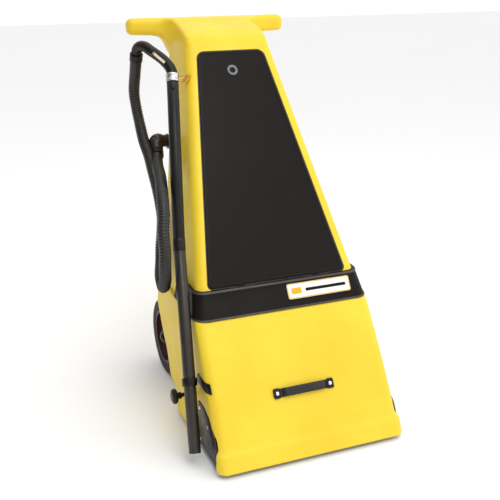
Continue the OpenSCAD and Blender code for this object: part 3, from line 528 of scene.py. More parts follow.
    @staticmethod
    def turned(name: str, profile: Sequence[Pair], steps: int = 48,
               ring: bool = False) -> Piece:
        """Spins a profile round Z.

        Args:
            name: The piece's name.
            profile: Radius and height of each point; a ring's profile closes on itself.
            steps: Segments round the piece.
            ring: Whether the piece has a hole through it.
        Returns:
            The piece.
        """
        Bench.clear()
        radius, height = profile[0]
        bpy.ops.mesh.primitive_plane_add(size=0.001, location=(radius, 0, height))
        bpy.ops.object.transform_apply(location=True)
        bpy.ops.object.mode_set(mode="EDIT")
        bpy.ops.mesh.select_mode(type="VERT")
        bpy.ops.mesh.merge(type="CENTER")
        for step_r, step_h in profile[1:]:
            bpy.ops.mesh.extrude_vertices_move(
                TRANSFORM_OT_translate={"value": (step_r - radius, 0, step_h - height)})
            radius, height = step_r, step_h
        if ring:
            ends = [Vector((r, 0, h)) for r, h in (profile[0], profile[-1])]
            Bench.pick(lambda place: min((place - end).length for end in ends) < TINY / 10)
            bpy.ops.mesh.edge_face_add()
        bpy.ops.mesh.select_all(action="SELECT")
        bpy.ops.mesh.spin(steps=steps, dupli=False, angle=2 * math.pi, center=(0, 0, 0), axis=(0, 0, 1))
        return Bench.close(name)

    @staticmethod
    def slab(name: str, corners: Sequence[Pair], radii: Sequence[float], low: float,
             high: float, steps: int = 6) -> Piece:
        """Extrudes an outline with rounded corners along Z.

        Args:
            name: The piece's name.
            corners: The outline's corners, counter-clockwise.
            radii: The rounding radius of each corner, 0 for a sharp one.
            low: Level of the bottom.
            high: Level of the top.
            steps: Segments in each rounded corner.
        Returns:
            The piece.
        """
        Bench.clear()
        bpy.ops.mesh.primitive_plane_add(size=0.001, location=(*corners[0], low))
        bpy.ops.object.transform_apply(location=True)
        bpy.ops.object.mode_set(mode="EDIT")
        bpy.ops.mesh.select_mode(type="VERT")
        bpy.ops.mesh.merge(type="CENTER")
        for last, place in zip(corners, corners[1:]):
            bpy.ops.mesh.extrude_vertices_move(
                TRANSFORM_OT_translate={"value": (place[0] - last[0], place[1] - last[1], 0)})
        bpy.ops.mesh.select_all(action="SELECT")
        bpy.ops.mesh.edge_face_add()
        for index, radius in enumerate(radii):
            if radius > 0:
                Bench.round_corner(corners, index, radius, steps)
        bpy.ops.mesh.select_all(action="SELECT")
        bpy.ops.mesh.extrude_region_move(TRANSFORM_OT_translate={"value": (0, 0, high - low)})
        return Bench.close(name)

    @staticmethod
    def round_corner(corners: Sequence[Pair], index: int, radius: float, steps: int) -> None:
        """Rounds one corner of the flat outline in edit mode."""
        here = Vector(corners[index])
        before = Vector(corners[index - 1]) - here
        after = Vector(corners[(index + 1) % len(corners)]) - here
        offset = radius / math.tan(before.angle(after) / 2)
        Bench.pick(lambda place: (place.xy - here).length < TINY)
        bpy.ops.mesh.bevel(offset=offset, offset_type="OFFSET", segments=steps, profile=0.5,
                           affect="VERTICES", clamp_overlap=False)

    @staticmethod
    def pipe(name: str, line: Sequence[Point], radii: Sequence[float], sides: int = 24) -> Piece:
        """Sweeps a round bar with changing radius along a smooth line and returns it."""
        Bench.clear()
        curve = bpy.data.curves.new(name, "CURVE")
        curve.dimensions = "3D"
        curve.bevel_depth = 1.0
        curve.bevel_resolution = sides // 4
        curve.use_fill_caps = True
        curve.resolution_u = 10
        spline = curve.splines.new("BEZIER")
        spline.bezier_points.add(len(line) - 1)
        for point, place, radius in zip(spline.bezier_points, line, radii):
            point.co = place
            point.radius = radius
            point.handle_left_type = point.handle_right_type = "AUTO"
        Bench.take(Bench.linked(name, curve))
        bpy.ops.object.convert(target="MESH")
        Bench.edit(bpy.context.object)
        return Bench.close(name)

    @staticmethod
    def refined(node: str, name: str, width: float, segments: int = 2) -> Piece:
        """Returns a merged copy of a node of the frame with softened edges."""
        Bench.clear()
        made = Bench.linked(name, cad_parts[node].data.copy())
        made.data.materials.clear()
        Bench.edit(made)
        bpy.ops.mesh.select_all(action="SELECT")
        bpy.ops.mesh.remove_doubles(threshold=TINY)
        bpy.ops.mesh.dissolve_limited(angle_limit=math.radians(1))
        bpy.ops.object.mode_set(mode="OBJECT")
        return Bench.soften(made, width, segments)

    @staticmethod
    def dress(piece: Piece, finish: Finish, body: str, *nodes: str) -> Piece:
        """Gives a piece its finish, its body and the nodes that it stands for, and returns it."""
        piece.data.materials.clear()
        piece.data.materials.append(finish.material())
        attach(piece, body)
        if nodes:
            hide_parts(*nodes)
        LOG.info("%s: %d faces on %s", piece.name, len(piece.data.polygons), body)
        return piece

    @staticmethod
    def carry(*rows: tuple[str, str, Finish, str, float]) -> None:
        """Refines and dresses nodes of the frame.

        Args:
            rows: Node, name, finish, body and bevel width of each.
        """
        for node, name, finish, body, width in rows:
            Bench.dress(Bench.refined(node, name, width), finish, body, node)


def centre(node: str) -> Point:
    """Returns the centre of a node's box at rest."""
    return tuple((low + high) / 2 for low, high in zip(*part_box(node)))


def toward(place: Sequence[float], direction: Sequence[float]) -> Matrix:
    """Returns the matrix that puts Z along a direction at a place, keeping X level."""
    z_axis = Vector(direction).normalized()
    tilt = math.acos(max(-1.0, min(1.0, z_axis.z)))
    turn = math.atan2(z_axis.y, z_axis.x)
    return Matrix.Translation(place) @ Matrix.Rotation(turn, 4, "Z") @ Matrix.Rotation(tilt, 4, "Y")


MIRROR = Matrix.Scale(-1, 4, (1, 0, 0))
# Stands a flat outline on end: its plane becomes Y and Z, and its depth X.
ON_END = Matrix(((0, 0, 1, 0), (1, 0, 0, 0), (0, 1, 0, 0), (0, 0, 0, 1)))


# The machine's outline ---------------------------------------------------------------------------


@dataclass(frozen=True)
class Outline:
    """Outline of the moulded body: the leaning tower and the lower housing, in metres."""

    top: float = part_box("tower_shell")[1].z
    housing_width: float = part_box("lower_housing")[1].x * 2
    seam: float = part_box("tower_shell")[0].z
    seam_front: float = -0.225
    seam_depth: float = 0.375
    waist_depth: float = 0.256
    neck_depth: float = 0.215
    seam_half: float = 0.266
    neck_half: float = 0.140
    lean: float = math.radians(32.2)
    crease: float = 0.060
    rim: float = 0.012
    rim_out: float = 0.007
    housing_seam_half: float = 0.275

    @property
    def neck(self) -> float:
        """Height of the tower's neck."""
        return self.top - 0.075

    @property
    def waist(self) -> float:
        """Height at which the rear face changes slope."""
        return self.seam + 0.6 * (self.neck - self.seam)

    def front(self, z: float) -> float:
        """Front of the tower at height z."""
        return self.seam_front + (z - self.seam) * math.tan(self.lean)

    def depth(self, z: float) -> float:
        """Depth of the tower at height z."""
        if z <= self.waist:
            share = max(0.0, (z - self.seam) / (self.waist - self.seam))
            return self.seam_depth + (self.waist_depth - self.seam_depth) * share
        share = min(1.0, (z - self.waist) / (self.neck - self.waist))
        return self.waist_depth + (self.neck_depth - self.waist_depth) * share

    def rear(self, z: float) -> float:
        """Rear of the tower at height z."""
        return self.front(z) + self.depth(z)

    def half(self, z: float) -> float:
        """Half the tower's width at height z."""
        return self.seam_half + (self.neck_half - self.seam_half) * (z - self.seam) / (self.neck - self.seam)

    def housing_front(self, z: float) -> float:
        """Front of the lower housing at height z."""
        share = (z - self.crease) / (self.seam - self.crease)
        return self.front(z) - 0.008 - 0.028 * share * (1 - share)

    def housing_half(self, z: float) -> float:
        """Half the lower housing's width at height z."""
        low = self.housing_width / 2 - self.rim_out
        return low + (self.housing_seam_half - low) * (z - self.rim) / (self.seam - self.rim)

    def on_front(self, z: float) -> Matrix:
        """Matrix of the front face at height z: X to the right, Y up the slope, Z outwards."""
        return Matrix.Translation((0, self.front(z), z)) @ Matrix.Rotation(math.pi / 2 - self.lean, 4, "X")

    def on_rear(self, z: float, span: float) -> Matrix:
        """Matrix of the rear face between z - span and z + span: Y down the slope, Z outwards."""
        low, high = self.rear(z - span), self.rear(z + span)
        lean = math.atan((high - low) / (2 * span))
        return Matrix.Translation((0, (low + high) / 2, z)) @ Matrix.Rotation(-math.pi / 2 - lean, 4, "X")


BODY = Outline()


# Studio and hose ---------------------------------------------------------------------------------


@dataclass
class Studio:
    """Pale floor, soft lights and the camera."""

    camera_place: Point = (-0.928, -2.25, 1.355)
    camera_yaw: float = 22.0
    camera_pitch: float = 19.8
    lens: float = 59.6
    sensor: float = 36.0
    floor_size: float = 30.0
    lights: tuple[tuple[str, Point, Point, float, float], ...] = (
        ("key", (0.1, -2.3, 3.9), (0, -0.1, 0.5), 2.0, 38),
        ("fill", (2.6, -1.8, 1.8), (0, 0, 0.5), 2.0, 10),
        ("top", (0.3, 0.5, 3.4), (0, 0, 0.5), 2.4, 14),
    )
    surround: tuple[tuple[str, float], ...] = (
        ("From Min", -0.95), ("From Max", -0.25), ("To Min", 0.14), ("To Max", 1.09))

    def camera(self) -> None:
        """Makes the scene's camera."""
        data = bpy.data.cameras.new("camera")
        data.lens = self.lens
        data.sensor_width = self.sensor
        data.sensor_fit = "HORIZONTAL"
        made = Bench.linked("camera", data)
        made.location = self.camera_place
        made.rotation_euler = (math.radians(90 - self.camera_pitch), 0, math.radians(-self.camera_yaw))
        bpy.context.scene.camera = made
        LOG.info("camera: %.1f mm lens", self.lens)

    def light(self, name: str, place: Point, aim: Point, size: float, watts: float) -> None:
        """Adds a square soft light.

        Args:
            name: Its name.
            place: Where it stands.
            aim: What it points at.
            size: Its side in metres.
            watts: Its power.
        """
        data = bpy.data.lights.new(name, "AREA")
        data.size = size
        data.energy = watts
        made = Bench.linked(name, data)
        made.location = place
        made.rotation_euler = (Vector(aim) - Vector(place)).to_track_quat("-Z", "Y").to_euler()

    def floor(self) -> None:
        """Makes the pale floor with a faint matt grain."""
        Bench.clear()
        bpy.ops.mesh.primitive_plane_add(size=self.floor_size)
        piece = bpy.context.object
        piece.name = "studio_floor"
        finish = Finish("studio_floor_paint", "", (0.97, 0.97, 0.97), (0.96, 0.96, 0.96), rough=(0.8, 0.9),
                        grain_depth=0.00001, cloud=1.5)
        piece.data.materials.append(finish.material())
        LOG.info("studio_floor: %.0f m square", self.floor_size)

    def build(self) -> None:
        """Makes the floor, the lights and the surroundings."""
        self.floor()
        for lamp in self.lights:
            self.light(*lamp)
        world = bpy.data.worlds.new("studio")
        world.use_nodes = True
        nodes, links = world.node_tree.nodes, world.node_tree.links
        split = nodes.new("ShaderNodeSeparateXYZ")
        side = nodes.new("ShaderNodeMapRange")
        for key, value in self.surround:
            side.inputs[key].default_value = value
        links.new(nodes.new("ShaderNodeTexCoord").outputs["Generated"], split.inputs["Vector"])
        links.new(split.outputs["X"], side.inputs["Value"])
        links.new(side.outputs["Result"], nodes["Background"].inputs["Strength"])
        nodes["Background"].inputs["Color"].default_value = (1, 1, 1, 1)
        bpy.context.scene.world = world
        bpy.context.scene.view_settings.view_transform = "Standard"


@dataclass
class Hose:
    """The corrugated hose from the hand tube to the elbow in the tower's side."""

    radius: float = 0.018
    sides: int = 28
    pitch: float = 0.0086
    groove: float = 0.0026
    rings: int = 4
    phase: float = 0.3
    plain_start: int = 60
    plain_end: int = 12
    bends: int = 24
    length: float = 1.51
    wand_ends: float = 0.80
    route: tuple[Point, ...] = (
        (-0.285, 0.270, 1.050), (-0.285, 0.295, 0.995), (-0.285, 0.315, 0.940), (-0.280, 0.315, 0.890),
        (-0.275, 0.300, 0.840), (-0.275, 0.260, 0.795), (-0.275, 0.205, 0.760), (-0.275, 0.165, 0.715),
        (-0.270, 0.145, 0.670), (-0.265, 0.135, 0.625), (-0.260, 0.135, 0.575), (-0.265, 0.130, 0.525),
        (-0.275, 0.110, 0.485), (-0.285, 0.080, 0.450), (-0.300, 0.035, 0.425), (-0.310, -0.020, 0.415),
        (-0.325, -0.090, 0.440), (-0.330, -0.125, 0.475), (-0.335, -0.145, 0.520), (-0.335, -0.150, 0.570),
        (-0.335, -0.140, 0.620), (-0.325, -0.115, 0.660), (-0.315, -0.075, 0.690), (-0.300, -0.015, 0.710),
        (-0.280, 0.065, 0.725), (-0.265, 0.145, 0.740), (-0.245, 0.225, 0.765),
    )

    def centre_line(self) -> list[Vector]:
        """Returns points close together on a smooth curve through the route."""
        points = [Vector(p) for p in self.route]
        ends = [2 * points[0] - points[1], *points, 2 * points[-1] - points[-2]]
        line: list[Vector] = []
        for a, b, c, d in zip(ends, ends[1:], ends[2:], ends[3:]):
            for step in range(self.bends):
                t = step / self.bends
                line.append(0.5 * (2 * b + (c - a) * t + (2 * a - 5 * b + 4 * c - d) * t ** 2
                                   + (3 * b - a - 3 * c + d) * t ** 3))
        line.append(points[-1])
        return line

    def spaced(self, gap: float) -> list[Vector]:
        """Returns points on the centre line at an even spacing of about gap."""
        line = self.centre_line()
        along = [0.0]
        for a, b in zip(line, line[1:]):
            along.append(along[-1] + (b - a).length)
        count = round(along[-1] / gap)
        made: list[Vector] = []
        at = 0
        for step in range(count + 1):
            want = along[-1] * step / count
            while at < len(line) - 2 and along[at + 1] < want:
                at += 1
            share = (want - along[at]) / (along[at + 1] - along[at])
            made.append(line[at].lerp(line[at + 1], min(1.0, share)))
        return made

    def build(self) -> None:
        """Makes the hose from rings that alternate between rib and groove."""
        path = self.spaced(self.pitch / self.rings)
        mesh = bmesh.new()
        rows: list[list[bmesh.types.BMVert]] = []
        side = Vector((1, 0, 0))
        for index, place in enumerate(path):
            run = (path[min(index + 1, len(path) - 1)] - path[max(index - 1, 0)]).normalized()
            side = (side - run * side.dot(run)).normalized()
            other = run.cross(side)
            rib = 0.5 - 0.5 * math.cos(index * 2 * math.pi / self.rings + self.phase)
            plain = min(1.0, index / self.plain_start, (len(path) - 1 - index) / self.plain_end)
            radius = self.radius - self.groove * (1 - rib) * plain
            rows.append([
                mesh.verts.new(place + radius * (side * math.cos(a) + other * math.sin(a)))
                for a in (2 * math.pi * k / self.sides for k in range(self.sides))
            ])
        for low, high in zip(rows, rows[1:]):
            for k in range(self.sides):
                following = (k + 1) % self.sides
                mesh.faces.new((low[k], low[following], high[following], high[k]))
        mesh.faces.new(reversed(rows[0]))
        mesh.faces.new(rows[-1])
        data = bpy.data.meshes.new("corrugated_hose")
        mesh.to_mesh(data)
        mesh.free()
        piece = Bench.linked("corrugated_hose", data)
        Bench.take(piece)
        bpy.ops.object.shade_smooth_by_angle(angle=math.radians(70))
        piece.data.materials.append(RUBBER.material())
        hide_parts("hose")
        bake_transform(piece)
        LOG.info("corrugated_hose: %d faces from wand to root", len(data.polygons))


# Moulded body ------------------------------------------------------------------------------------


@dataclass
class MouldedBody:
    """The two rotomoulded shells."""

    wall: float = 0.008
    housing_wall: float = 0.006
    front_radius: float = 0.028
    rear_radius: float = 0.042
    voxel: float = 0.0048
    door_level: float = BODY.seam + 0.075
    door_low: float = 0.434
    door_high: float = 0.212
    handle_half: float = 0.270
    handle_depth: float = 0.048
    hinge_at: float = 0.12
    rear_holes: tuple[tuple[float, float, float, float], ...] = (
        (BODY.neck - 0.075, 0.03, 0.052, 0.027), (BODY.neck - 0.175, 0.03, 0.023, 0.023),
        (BODY.seam + 0.152, 0.04, 0.1, 0.048))
    neck_edge: float = BODY.neck_half
    crown: tuple[Point, ...] = (
        (0.014, 0, 0.004), (0.030, 0.014, 0.006), (0.045, 0.048, 0.008),
        (0.057, 0.092, 0.011), (0.068, 0.140, 0.015), (0.074, 0.165, 0.022),
    )

    @property
    def door_length(self) -> float:
        """Length of the door up the slope."""
        return (BODY.neck - 0.016 - self.door_level) / math.cos(BODY.lean)

    def tower_section(self, z: float, inward: float, level: float | None = None) -> Section:
        """Returns the tower's section at height z, moved in, at another level if one is given."""
        half = BODY.half(z) - inward
        return Section(z if level is None else level, (-half, BODY.front(z) + inward),
                       (half, BODY.rear(z) - inward), self.front_radius - inward, self.rear_radius - inward)

    def tower_form(self, name: str, inward: float, foot: float) -> Piece:
        """Returns the tower's solid form from its foot to its crown, moved in."""
        heights = [foot, BODY.seam + 0.086, BODY.seam + 0.2, BODY.waist, BODY.waist + 0.12, BODY.neck - 0.03,
                   BODY.neck]
        sections = [self.tower_section(z, inward) for z in heights]
        rear = BODY.rear(BODY.neck) + 0.024
        for rise, shift, inset in self.crown:
            half = self.neck_edge - inset - inward
            sections.append(Section(
                BODY.neck + rise - inward, (-half, BODY.front(BODY.neck) + 0.009 + shift + inward),
                (half, rear - inset / 2 - inward), 0.018 - inward, 0.026 - inward))
        return Bench.loft(name, sections)

    def cross_handle(self) -> Piece:
        """Returns the bar across the top, with its fillets into the neck."""
        rear = BODY.rear(BODY.neck) + 0.025
        half, root = self.handle_half, self.neck_edge
        stations = [
            (-half, 0.033, 0.012, 0.008), (-half + 0.004, 0.027, 0.005, 0.014),
            (-half + 0.012, 0.023, 0, 0.017), (-root - 0.050, 0.020, 0, 0.017),
            (-root - 0.026, 0.015, -0.002, 0.017),
            (-root - 0.012, 0.004, -0.009, 0.017), (-root - 0.003, -0.014, -0.022, 0.017),
            (-root + 0.008, -0.040, -0.046, 0.017),
        ]
        stations += [(-x, rise, edge, radius) for x, rise, edge, radius in reversed(stations)]
        sections = [
            Section(x, (-BODY.top + max(0, edge), rear - self.handle_depth + edge),
                    (-BODY.neck - rise, rear - max(0, edge)), radius, radius)
            for x, rise, edge, radius in stations
        ]
        bar = Bench.loft("handle_bar", sections)
        return Bench.place(bar, Matrix.Rotation(math.pi / 2, 4, "Y"))

    def door_form(self, name: str, grow: float, low: float, high: float) -> Piece:
        """Returns a slab in the door's outline, grown all round, between two depths on the front face."""
        slope = math.atan((self.door_low - self.door_high) / 2 / self.door_length)
        near = grow * math.tan(math.pi / 4 - slope / 2)
        far = grow * math.tan(math.pi / 4 + slope / 2)
        half_low = self.door_low / 2 + far
        half_high = self.door_high / 2 + near
        corners = [(-half_low, -grow), (half_low, -grow), (half_high, self.door_length + grow),
                   (-half_high, self.door_length + grow)]
        low_r, high_r = 0.012 + grow, 0.022 + grow
        slab = Bench.slab(name, corners, (low_r, low_r, high_r, high_r), low, high, steps=8)
        return Bench.place(slab, BODY.on_front(self.door_level))

    def melted(self, piece: Piece, rounds: int) -> Piece:
        """Returns the piece with its edges melted together as a rotational moulding's are."""
        Bench.apply(piece, "REMESH", mode="VOXEL", voxel_size=self.voxel)
        return Bench.apply(piece, "SMOOTH", factor=0.5, iterations=rounds)

    def tower(self) -> None:
        """Makes the tower with its door opening, rear openings and hollow inside."""
        skin = self.tower_form("tower_skin", 0, BODY.seam)
        Bench.cut(skin, self.cross_handle(), join=True)
        self.melted(skin, 6)
        Bench.cut(skin, self.tower_form("hollow", self.wall, BODY.seam - 0.02))
        Bench.cut(skin, self.door_form("door_hole", -0.014, -0.02, 0.01))
        Bench.cut(skin, self.door_form("door_seat", 0.0052, -0.006, 0.05))
        for side in (-1, 1):
            pocket = Bench.box("hinge_pocket", (side * self.hinge_at - 0.04, -0.014, -0.007),
                               (side * self.hinge_at + 0.04, 0.004, 0.02))
            Bench.cut(skin, Bench.place(pocket, BODY.on_front(self.door_level)))
        for z, span, wide, tall in self.rear_holes:
            hole = Bench.box("rear_hole", (-wide, -tall, -0.02), (wide, tall, 0.02))
            Bench.cut(skin, Bench.place(hole, BODY.on_rear(z, span)))
        Bench.soften(skin, 0)
        Bench.dress(skin, YELLOW, "root", "tower_shell")

    def housing_section(self, z: float, inward: float, rear: float, level: float, out: float = 0) -> Section:
        """Returns the lower housing's section at height z, drawn at a level."""
        half = BODY.housing_half(z) - inward + out
        return Section(level, (-half, BODY.housing_front(z) + inward - out), (half, rear - inward),
                       self.front_radius - inward, self.rear_radius - inward)

    def housing_form(self, name: str, inward: float) -> Piece:
        """Returns the lower housing's solid form, moved in and open at its bottom when inward is above 0."""
        crease, rim = BODY.crease, BODY.rim
        drop = 0.004 if inward else 0
        rows = [
            (rim + 0.005, -0.045, rim - drop, BODY.rim_out),
            (rim + 0.042, -0.032, crease - 0.006, BODY.rim_out),
            (crease, -0.030, crease, BODY.rim_out - 0.002),
            (crease + 0.006, -0.028, crease + 0.006, 0.001),
            (crease + 0.012, -0.026, crease + 0.012 + inward, 0),
            (crease + 0.024, 0.054, crease + 0.024 + inward, 0),
            (0.096, 0.060, 0.096 + inward, 0),
        ]
        rear_line = [(0.112, 0.068), (0.160, 0.096), (0.200, 0.135), (0.256, 0.178), (0.285, 0.200),
                     (0.315, 0.196), (0.345, BODY.rear(BODY.seam) + 0.022)]
        rows += [(z, rear, z, 0) for z, rear in rear_line]
        rows.append((BODY.seam, BODY.rear(BODY.seam), BODY.seam - inward, 0))
        return Bench.loft(name, [self.housing_section(z, inward, rear, level, out)
                                 for z, rear, level, out in rows])

    def housing(self) -> None:
        """Makes the lower housing with its wheel arches and brush end openings."""
        skin = self.housing_form("housing_skin", 0)
        self.melted(skin, 3)
        Bench.cut(skin, self.housing_form("hollow", self.housing_wall))
        low, high = (-0.18, -0.165, BODY.seam - 0.02), (0.18, 0.085, BODY.seam + 0.02)
        Bench.cut(skin, Bench.box("top_hole", low, high))
        side_cut = [(-0.432, -0.01), (-0.426, 0.046), (-0.399, 0.094), (-0.346, 0.1365), (-0.300, 0.1485),
                    (-0.258, 0.1485), (-0.258, -0.01)]
        axle, knob = centre("axle"), centre("side_knob_right")
        wheel_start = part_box("tyre_right")[0].x
        for turn in (Matrix.Identity(4), MIRROR):
            end = Bench.slab("brush_end_cut", side_cut, [0, 0.02, 0.03, 0.03, 0.03, 0.012, 0], 0.276, 0.336)
            arch = Bench.turned("wheel_arch", [(0, 0), (0.140, 0), (0.140, 0.068), (0, 0.068)], steps=96)
            rail = Bench.box("rail_slot", (0.174, -0.02, 0.085), (0.184, 0.28, 0.173))
            hole = Bench.turned("knob_hole", [(0, 0), (0.011, 0), (0.011, 0.06), (0, 0.06)])
            Bench.place(end, ON_END)
            Bench.place(arch, toward((wheel_start - 0.008, *axle[1:]), (1, 0, 0)))
            Bench.place(hole, toward((0.26, *knob[1:]), (1, 0, 0)))
            for tool in (end, arch, rail, hole):
                Bench.cut(skin, Bench.copy(tool, "cutter", turn))
                bpy.data.objects.remove(tool)
        Bench.soften(skin, 0)
        Bench.dress(skin, YELLOW, "root", "lower_housing")

    def build(self) -> None:
        """Makes both shells."""
        self.tower()
        self.housing()


@dataclass
class Door:
    """Front door with its gasket, hinge pins, plain ring and the body it closes."""

    shell: MouldedBody
    proud: float = 0.0012
    thickness: float = 0.006
    rim: float = 0.0065
    lug_at: float = 0.12
    lug_width: float = 0.020
    lug_outline: tuple[Pair, ...] = (
        (-0.0100, -0.0042), (0.0012, -0.0042), (0.0012, 0.0008), (-0.0100, 0.0008))
    ring_outer: float = 0.017
    ring_inner: float = 0.009
    ring_place: Pair = (-0.006, 0.667)

    def panel(self) -> None:
        """Makes the panel with its raised rim and the two hinge lugs."""
        panel = self.shell.door_form("door_panel", 0, self.proud - self.thickness, self.proud)
        outward = BODY.on_front(self.shell.door_level).to_3x3() @ Vector((0, 0, 1))
        Bench.edit(panel)
        bpy.ops.mesh.select_mode(type="FACE")
        mesh = bmesh.from_edit_mesh(panel.data)
        for face in mesh.faces:
            face.select = face.normal.dot(outward) > 0.99
        bmesh.update_edit_mesh(panel.data)
        bpy.ops.mesh.inset(thickness=self.rim, depth=0)
        bpy.ops.mesh.inset(thickness=0.0009, depth=-0.0006)
        Bench.close("door_panel")
        for side in (-1, 1):
            lug = Bench.slab("hinge_lug", self.lug_outline, [0.0024, 0.0, 0.0, 0.0024],
                             -self.lug_width / 2, self.lug_width / 2, steps=5)
            Bench.place(lug, BODY.on_front(self.shell.door_level)
                        @ Matrix.Translation((side * self.lug_at, 0, 0)) @ ON_END)
            Bench.cut(panel, lug, join=True)
        Bench.soften(panel, 0.0006, 2, smooth=30)
        Bench.dress(panel, DOOR, "door", "front_door")

    def gasket(self) -> None:
        """Makes the rubber gasket in the gap round the door."""
        gasket = self.shell.door_form("door_gasket", 0.0047, -0.0052, -0.0004)
        Bench.cut(gasket, self.shell.door_form("gasket_hole", 0.0008, -0.02, 0.02))
        for side in (-1, 1):
            notch = Bench.box("lug_notch", (side * self.lug_at - 0.012, -0.010, -0.008),
                              (side * self.lug_at + 0.012, 0.002, 0.004))
            Bench.cut(gasket, Bench.place(notch, BODY.on_front(self.shell.door_level)))
        Bench.soften(gasket, 0.0008, 2)
        Bench.dress(gasket, RUBBER, "root", "door_seal")

    def emblem(self) -> None:
        """Makes the plain ring near the top of the door."""
        outer, inner = self.ring_outer, self.ring_inner
        ring = Bench.turned("door_emblem", [
            (inner, 0), (outer, 0), (outer, 0.0009), (outer - 0.0007, 0.0016), (outer - 0.0022, 0.0016),
            (outer - 0.0027, 0.0011), (inner + 0.0027, 0.0011), (inner + 0.0022, 0.0016),
            (inner + 0.0007, 0.0016), (inner, 0.0009)], steps=64, ring=True)
        across, up = self.ring_place
        Bench.place(ring, BODY.on_front(self.shell.door_level) @ Matrix.Translation((across, up, 0.0007)))
        Bench.soften(ring, 0, smooth=35)
        Bench.dress(ring, BADGE, "door", "door_badge")

    def build(self) -> None:
        """Makes the door's pieces."""
        self.panel()
        self.gasket()
        self.emblem()
        Bench.carry(("door_hinge_pins", "hinge_pins", DARK_STEEL, "root", 0.0004))


